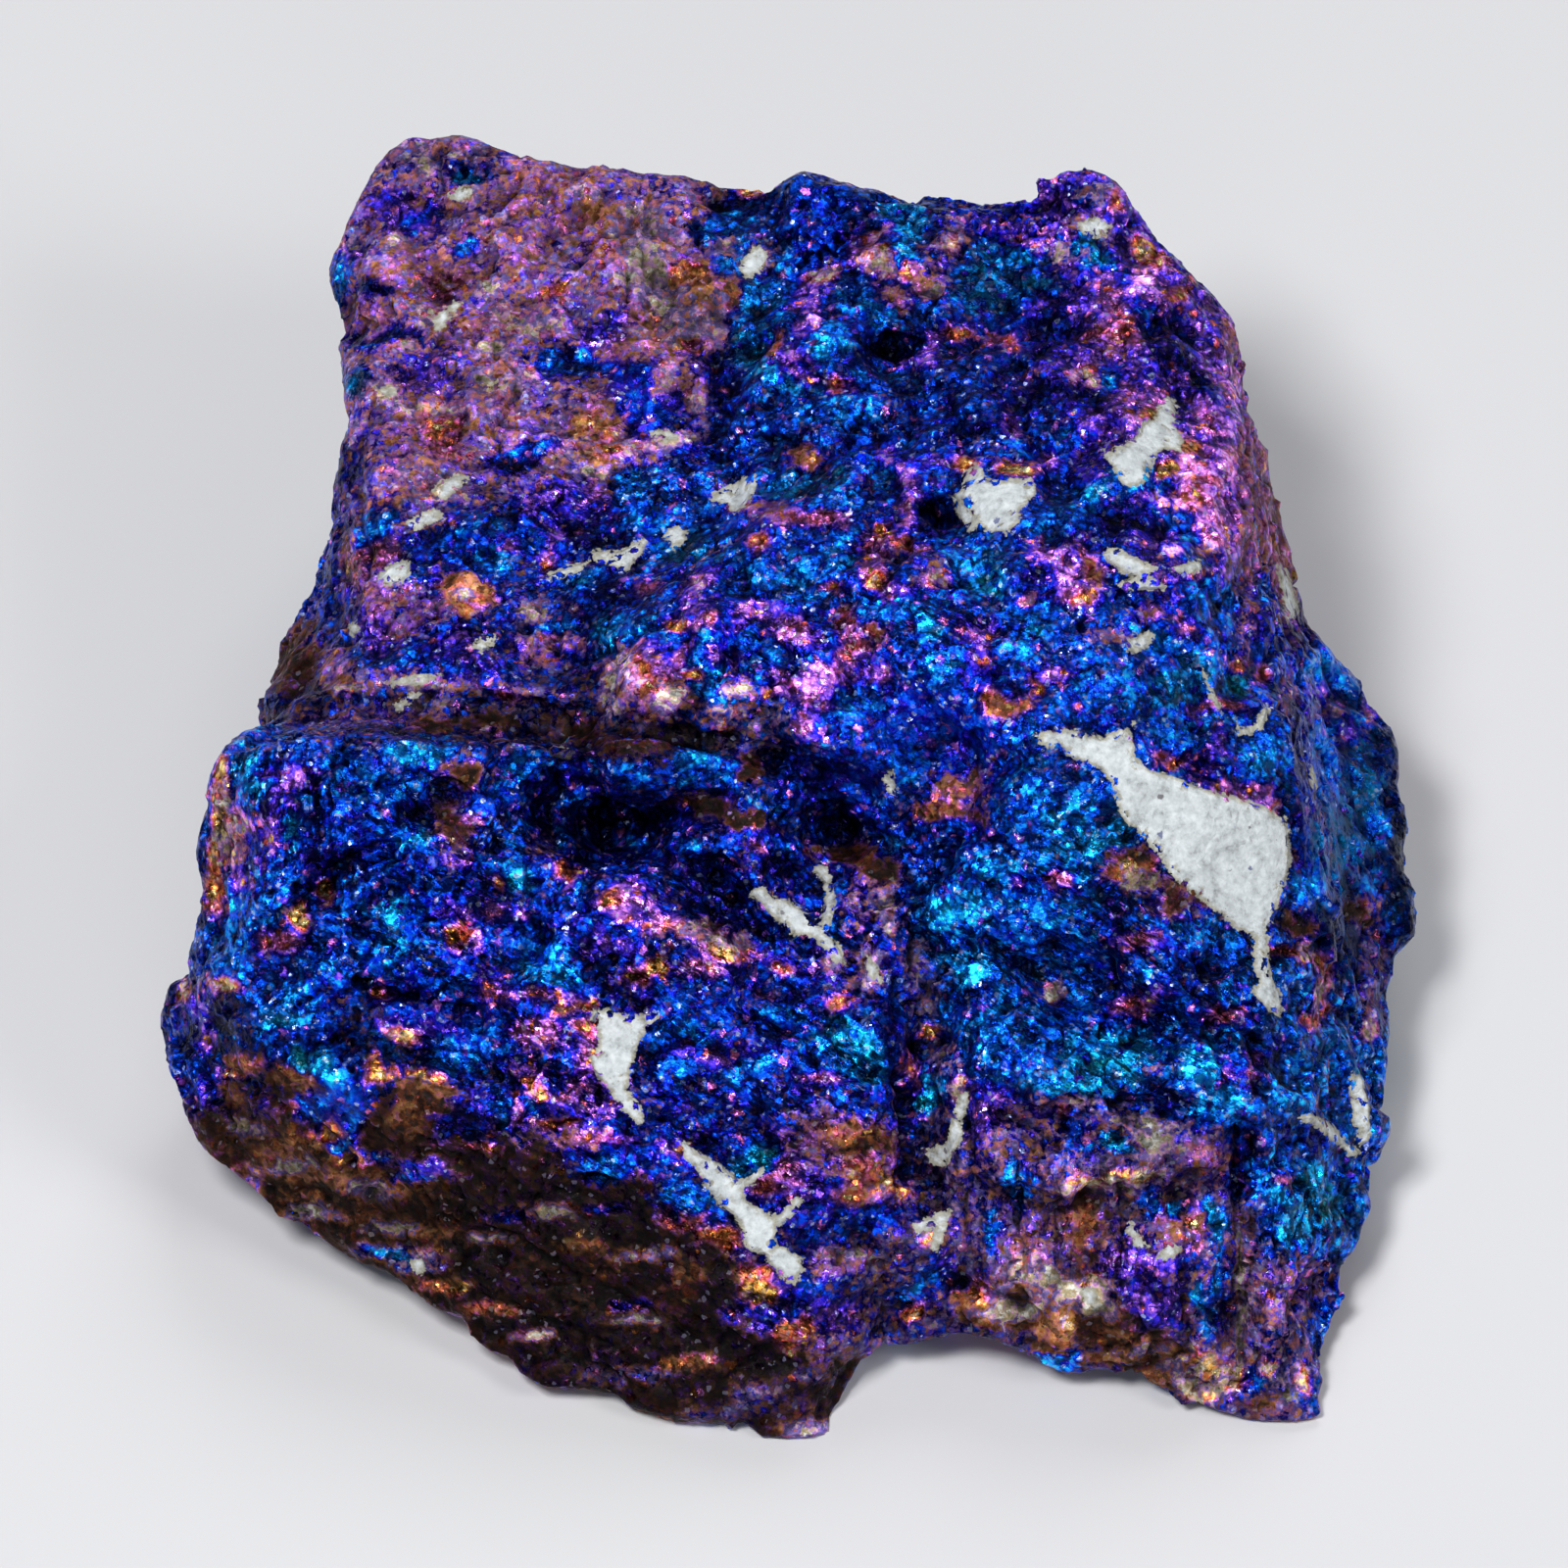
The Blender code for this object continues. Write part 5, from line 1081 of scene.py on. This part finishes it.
class Nodes:
    """A material's node tree, with short ways to add the nodes used here."""

    def __init__(self, material):
        material.use_nodes = True
        self.tree = material.node_tree
        self.surface = self.tree.nodes["Principled BSDF"]
        self.place = self.scaled(self.new("ShaderNodeTexCoord").outputs["Object"], 1.0 / MM)

    def new(self, kind, **settings):
        node = self.tree.nodes.new(kind)
        for name, value in settings.items():
            setattr(node, name, value)
        return node

    def feed(self, socket, value):
        if isinstance(value, bpy.types.NodeSocket):
            self.tree.links.new(value, socket)
        else:
            socket.default_value = value

    def feed_all(self, sockets, values):
        for socket, value in zip(sockets, values):
            self.feed(socket, value)

    def attribute(self, name):
        return self.new("ShaderNodeAttribute", attribute_name=name).outputs["Fac"]

    def math(self, operation, *values, **settings):
        node = self.new("ShaderNodeMath", operation=operation, **settings)
        self.feed_all(node.inputs, values)
        return node.outputs[0]

    def product(self, first, second):
        return self.math("MULTIPLY", first, second)

    def larger(self, first, second):
        return self.math("MAXIMUM", first, second)

    def less(self, first, second):
        """The first value less the second."""
        return self.math("SUBTRACT", first, second)

    def total(self, value, *parts):
        """The value plus each part times its amount."""
        for part, amount in parts:
            value = self.math("MULTIPLY_ADD", part, amount, value)
        return value

    def varied(self, value, *draws):
        """The value moved up or down by each draw, which is from 0 to 1, times its amount."""
        for draw, amount in draws:
            value = self.total(value, (self.less(draw, 0.5), amount))
        return value

    def vector(self, operation, *values):
        node = self.new("ShaderNodeVectorMath", operation=operation)
        self.feed_all(node.inputs, values)
        return node.outputs["Value" if operation == "DOT_PRODUCT" else "Vector"]

    def scaled(self, vector, factor):
        node = self.new("ShaderNodeVectorMath", operation="SCALE")
        self.feed(node.inputs["Vector"], vector)
        self.feed(node.inputs["Scale"], factor)
        return node.outputs["Vector"]

    def centred(self, draws, factor):
        """Three draws from 0 to 1 as a direction, whose length the factor scales."""
        return self.scaled(self.vector("SUBTRACT", draws, tuple(HALF)), factor)

    def texture(self, kind, place, size, **inputs):
        """A texture node whose features measure about size millimetres."""
        node = self.new(kind)
        self.feed(node.inputs["Vector"], place)
        self.feed(node.inputs["Scale"], 1.0 / size)
        for name, value in inputs.items():
            self.feed(node.inputs[name], value)
        return node

    def noise(self, place, size, detail, roughness):
        return self.texture("ShaderNodeTexNoise", place, size, Detail=detail, Roughness=roughness)

    def cells(self, place, size):
        return self.texture("ShaderNodeTexVoronoi", place, size)

    def streaks(self, direction, size, length):
        """Noise drawn out along a direction, from about -0.5 to 0.5."""
        pressed = self.product(self.vector("DOT_PRODUCT", self.place, direction), length - 1.0)
        place = self.vector("ADD", self.place, self.scaled(direction, pressed))
        return self.less(self.noise(place, size, 3.0, 0.6).outputs[0], 0.5)

    def crease(self, value):
        """A thin line where the value passes zero."""
        return self.between(self.math("ABSOLUTE", value), CREASE, 0.0)

    def split(self, node):
        """The three draws of a texture's colour."""
        parts = self.new("ShaderNodeSeparateColor")
        self.feed(parts.inputs[0], node.outputs["Color"])
        return parts.outputs[0], parts.outputs[1], parts.outputs[2]

    def ramp(self, share, stops):
        node = self.new("ShaderNodeValToRGB")
        elements = node.color_ramp.elements
        while len(elements) < len(stops):
            elements.new(0.5)
        for element, (position, colour) in zip(elements, stops):
            element.position = position
            element.color = (*linear(colour), 1.0)
        self.feed(node.inputs[0], share)
        return node.outputs["Color"]

    def blend(self, share, first, second, kind="MIX"):
        node = self.new("ShaderNodeMix", data_type="RGBA", blend_type=kind, clamp_factor=True)
        self.feed(node.inputs["Factor"], share)
        self.feed(node.inputs[6], first)
        self.feed(node.inputs[7], second)
        return node.outputs[2]

    def between(self, value, low, high):
        node = self.new("ShaderNodeMapRange", interpolation_type="SMOOTHSTEP")
        self.feed_all(node.inputs, (value, low, high))
        return node.outputs[0]


def linear(colour):
    """Screen colour, 0 to 255 a channel, as the linear numbers that shaders use."""
    return [(c / 255 / 12.92 if c <= 10 else ((c / 255 + 0.055) / 1.055) ** 2.4) for c in colour]


def ore_patterns(nodes):
    """The patterns behind the ore's colours. Grain, fine and cloud are three independent draws each."""
    wander = nodes.centred(nodes.noise(nodes.place, WANDER, 3.0, 0.6).outputs["Color"], 0.55)
    place = nodes.vector("ADD", nodes.place, wander)
    grains = nodes.cells(place, GRAIN)
    return SimpleNamespace(
        place=place,
        grains=grains,
        glints=nodes.cells(nodes.place, GLINT),
        grain=nodes.split(grains),
        fine=nodes.split(nodes.noise(nodes.place, FINE_GRAIN, 3.0, 0.65)),
        cloud=nodes.split(nodes.noise(nodes.place, CLOUD, 4.0, 0.65)),
    )


def tarnish(nodes, patterns):
    """The colour of the film on metal grains, that of dull grains, and which of the two each grain has."""
    grain, fine, cloud = patterns.grain, patterns.fine, patterns.cloud
    film = nodes.varied(nodes.attribute("film"), (grain[0], 0.12), (fine[0], 0.24), (cloud[0], 0.24))
    film = nodes.total(film, (nodes.between(grain[2], 0.95, 0.97), -0.20))
    level = nodes.attribute("tone")
    tone = nodes.varied(level, (grain[1], 0.42), (fine[1], 0.68), (cloud[1], 0.40))
    from_middle = nodes.math("ABSOLUTE", nodes.less(level, 0.57))
    held = nodes.product(nodes.between(from_middle, 0.2, 0.35), 0.5)
    tone = nodes.total(tone, (nodes.less(level, tone), held))
    bar = nodes.varied(0.5, (grain[2], 0.50), (fine[2], 1.6), (cloud[2], 0.7))
    earthy = nodes.between(nodes.less(nodes.attribute("earth"), bar), -0.28, 0.28)
    return nodes.ramp(film, FILM_COLOURS), nodes.ramp(tone, EARTH_COLOURS), earthy


def foliation(nodes):
    """Streaks, finer strands and painted highlights along thin wrinkles, in the ore's two ways, and where
    there are any.
    """
    slanting = nodes.attribute("slanting")
    upright = nodes.attribute("upright")
    streak = nodes.product(nodes.streaks(SLANTING, STREAK, STREAK_LENGTH), slanting)
    streak = nodes.total(streak, (nodes.streaks(UPRIGHT, STREAK, STREAK_LENGTH), upright))
    aslant = nodes.streaks(SLANTING, STRAND, STRAND_LENGTH)
    erect = nodes.streaks(UPRIGHT, STRAND, STRAND_LENGTH)
    strand = nodes.product(aslant, nodes.math("ADD", slanting, 0.08))
    strand = nodes.total(strand, (erect, upright))
    wrinkle_highlight = nodes.product(nodes.crease(aslant), nodes.math("ADD", slanting, 0.04))
    wrinkle_highlight = nodes.total(wrinkle_highlight, (nodes.crease(erect), upright))
    return streak, strand, wrinkle_highlight, nodes.larger(slanting, upright)


def brightness(nodes, patterns, earthy):
    """How bright each grain is, with painted light in its middle, painted shade at its edges and painted
    highlights along wrinkles. Metal ones sparkle, and dull ones vary less.
    """
    grain, fine, cloud = patterns.grain, patterns.fine, patterns.cloud
    streak, strand, wrinkle_highlight, foliated = foliation(nodes)
    clump = nodes.split(nodes.cells(patterns.place, CLUMP))[0]
    spark = nodes.varied(0.5, (grain[1], 0.45), (fine[2], 1.3), (cloud[1], 0.9), (clump, 0.5))
    # Painted light and shade: a grain is lighter in its middle and darker where it meets the next
    spark = nodes.total(spark, (nodes.less(0.36, patterns.grains.outputs["Distance"]), 0.9))
    spark = nodes.total(spark, (streak, 1.4), (strand, 1.6), (wrinkle_highlight, 0.5), (foliated, -0.12))
    spark = nodes.total(0.15, (nodes.between(spark, 0.08, 1.18), 2.05))
    calm = nodes.product(nodes.attribute("calm"), 0.7)
    spark = nodes.total(spark, (calm, nodes.less(0.9, spark)))
    plain = nodes.varied(0.72, (grain[2], 0.6), (fine[0], 1.8), (cloud[2], 0.7))
    plain = nodes.total(plain, (strand, 2.2))
    value = nodes.total(spark, (earthy, nodes.less(plain, spark)), (streak, 0.9))
    return nodes.product(nodes.larger(value, 0.06), nodes.attribute("light"))


def glint_share(nodes, patterns, value, earthy):
    """Where painted glints lighten single crystals: most on bright metal, and a little in dull places."""
    glint = nodes.split(patterns.glints)
    bright = nodes.product(nodes.between(value, 0.3, 1.1), nodes.total(0.8, (earthy, -0.7)))
    bright = nodes.larger(bright, nodes.product(nodes.between(glint[2], 0.55, 0.65), 0.11))
    return nodes.product(bright, nodes.between(glint[0], 0.93, 0.96))


def quartz_looks(nodes, patterns):
    """The colour of milky quartz with its specks, and where it lies, with ragged edges."""
    grain, fine, cloud = patterns.grain, patterns.fine, patterns.cloud
    ragged = nodes.varied(nodes.attribute("quartz"), (fine[0], 0.56), (cloud[2], 0.34))
    ragged = nodes.total(ragged, (nodes.between(grain[1], 0.84, 0.88), -0.24))
    milky = nodes.ramp(nodes.noise(nodes.place, MILKINESS, 6.0, 0.7).outputs[0], QUARTZ_COLOURS)
    blemish = nodes.cells(patterns.place, BLEMISH)
    draw, stain, _ = nodes.split(blemish)
    speck = nodes.between(blemish.outputs["Distance"], 0.17, 0.11)
    speck = nodes.product(nodes.product(nodes.between(draw, 0.70, 0.74), speck), 0.8)
    milky = nodes.blend(speck, milky, nodes.ramp(stain, SPECK_COLOURS))
    cloudy = nodes.math("MULTIPLY_ADD", nodes.less(cloud[0], 0.5), 0.5, 1.0, use_clamp=True)
    milky = nodes.blend(1.0, milky, cloudy, "MULTIPLY")
    tint = nodes.blend(nodes.between(ragged, 0.0, 0.22), THIN_QUARTZ, THICK_QUARTZ)
    return nodes.blend(1.0, milky, tint, "MULTIPLY"), nodes.between(ragged, -0.06, 0.0)


def faceted_normal(nodes, patterns, metal):
    """Each grain's face leans its own way, metal ones most, and fine grain roughens them."""
    grain_lean = nodes.centred(patterns.grains.outputs["Color"], 0.5)
    glint_lean = nodes.centred(patterns.glints.outputs["Color"], 0.4)
    lean = nodes.scaled(nodes.vector("ADD", grain_lean, glint_lean), nodes.total(0.1, (metal, 0.9)))
    normal = nodes.new("ShaderNodeNewGeometry").outputs["Normal"]
    bump = nodes.new("ShaderNodeBump")
    nodes.feed(bump.inputs["Strength"], 0.8)
    nodes.feed(bump.inputs["Distance"], 0.08 * MM)
    nodes.feed(bump.inputs["Height"], patterns.fine[2])
    nodes.feed(bump.inputs["Normal"], nodes.vector("NORMALIZE", nodes.vector("ADD", normal, lean)))
    return bump.outputs[0]


def ore_material():
    """Tarnished ore: grains of metal under a film, dull earthy grains between them, and white quartz."""
    material = bpy.data.materials.new("tarnished_ore")
    nodes = Nodes(material)
    patterns = ore_patterns(nodes)
    film, earth, earthy = tarnish(nodes, patterns)
    value = brightness(nodes, patterns, earthy)
    colour = nodes.blend(1.0, nodes.blend(earthy, film, earth), value, "MULTIPLY")
    # Painted glints: a cool, pale highlight in the base colour
    colour = nodes.blend(glint_share(nodes, patterns, value, earthy), colour, nodes.blend(0.55, film, ICY_GLINT))
    milky, white = quartz_looks(nodes, patterns)
    dull = nodes.larger(earthy, white)
    metal = nodes.less(1.0, dull)
    rough = nodes.varied(0.34, (patterns.grain[0], 0.24), (patterns.fine[1], 0.3))
    looks = {
        "Base Color": nodes.blend(white, colour, milky),
        "Metallic": nodes.product(metal, 0.85),
        "Roughness": nodes.total(rough, (dull, 0.26)),
        "Specular IOR Level": 0.08,
        "Normal": faceted_normal(nodes, patterns, metal),
    }
    for name, look in looks.items():
        nodes.feed(nodes.surface.inputs[name], look)
    return material


def rough_mesh():
    """The stone with its relief, thinned so that triangles stay where the surface needs them."""
    mesh = even_mesh()
    points, normals = read_points(mesh)
    height = relief(mesh)
    height[points[:, 2] == 0.0] = 0.0
    points += normals * (height * MM)[:, None]
    points[:, 2] = np.maximum(points[:, 2], 0.0)
    move_points(mesh, points)
    triangles = sum(len(face.vertices) - 2 for face in mesh.polygons)
    return with_modifiers(mesh, DECIMATE={"ratio": TRIANGLES / triangles})


def make_ore():
    """The stone's whole surface: its relief, tarnish and quartz."""
    mesh = rough_mesh()
    points, normals = read_points(mesh)
    cleft = np.zeros(len(points))
    for near, _, cut in cuts(points, normals):
        cleft[near] = np.maximum(cleft[near], cut)
    film, light, earth, tone = coats_at(points, normals).T
    # Painted shade in clefts and hollows, and painted light on humps, in the tarnish's brightness
    light = light * (1.0 - CLEFT_SHADE * cleft) * hollow_shade(mesh, points, normals)
    values = {name: texture_share(points, normals, name) for name in TEXTURES}
    values.update(film=film, light=light, earth=earth, tone=tone, quartz=quartz_depth(points, normals))
    for name, column in values.items():
        add_attribute(mesh, name, column)
    mesh.polygons.foreach_set("use_smooth", earth[first_corners(mesh)] > DULL_EARTH)
    mesh.name = "ore_surface"
    mesh.materials.clear()
    mesh.materials.append(ore_material())
    ore = add_object("ore_surface", mesh)
    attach(ore, "root")
    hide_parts(NODE)


def make_floor():
    mesh = bpy.data.meshes.new("floor")
    corners = [(-1, -1), (1, -1), (1, 1), (-1, 1)]
    mesh.from_pydata([(FLOOR_SIZE * x, FLOOR_SIZE * y, 0.0) for x, y in corners], [], [(0, 1, 2, 3)])
    floor = add_object("floor", mesh)
    floor.location.z = -FLOOR_DROP
    material = bpy.data.materials.new("pale_floor")
    material.use_nodes = True
    surface = material.node_tree.nodes["Principled BSDF"]
    surface.inputs["Base Color"].default_value = FLOOR_COLOUR
    surface.inputs["Roughness"].default_value = FLOOR_ROUGHNESS
    mesh.materials.append(material)


def add_light(name, azimuth, elevation, distance, size, watts):
    data = bpy.data.lights.new(name, "AREA")
    data.size = size
    data.energy = watts
    light = add_object(name, data)
    turn, rise = math.radians(azimuth), math.radians(elevation)
    towards = Vector((math.sin(turn) * math.cos(rise), -math.cos(turn) * math.cos(rise), math.sin(rise)))
    light.location = STONE_MIDDLE + towards * distance
    light.rotation_euler = towards.to_track_quat("Z", "Y").to_euler()


def make_lights():
    for name, light in LIGHTS.items():
        add_light(name, *light)
    world = bpy.data.worlds.new("studio")
    world.use_nodes = True
    sky = world.node_tree.nodes["Background"]
    sky.inputs["Color"].default_value = SKY_COLOUR
    sky.inputs["Strength"].default_value = SKY_STRENGTH
    bpy.context.scene.world = world


def make_camera():
    """A long lens at the photograph's angle, aimed so that the stone fills the frame as it does there."""
    frame_width = PHOTO_PIXELS / PIXELS_PER_MM * MM
    data = bpy.data.cameras.new("camera")
    data.sensor_width = SENSOR_WIDTH
    data.lens = SENSOR_WIDTH * CAMERA_DISTANCE / frame_width
    data.clip_start, data.clip_end = CLIP
    camera = add_object("camera", data)
    aim = RIGHT * PHOTO_MIDDLE_MM[0] * MM + UP * PHOTO_MIDDLE_MM[1] * MM + TOWARDS_VIEWER * DEPTH_OF_MIDDLE
    camera.location = Vector(aim + TOWARDS_VIEWER * CAMERA_DISTANCE)
    camera.rotation_euler = (math.pi / 2 - LOOK_DOWN, 0.0, 0.0)
    bpy.context.scene.camera = camera


make_ore()
make_floor()
make_lights()
make_camera()
bpy.context.scene.view_settings.view_transform = "Standard"
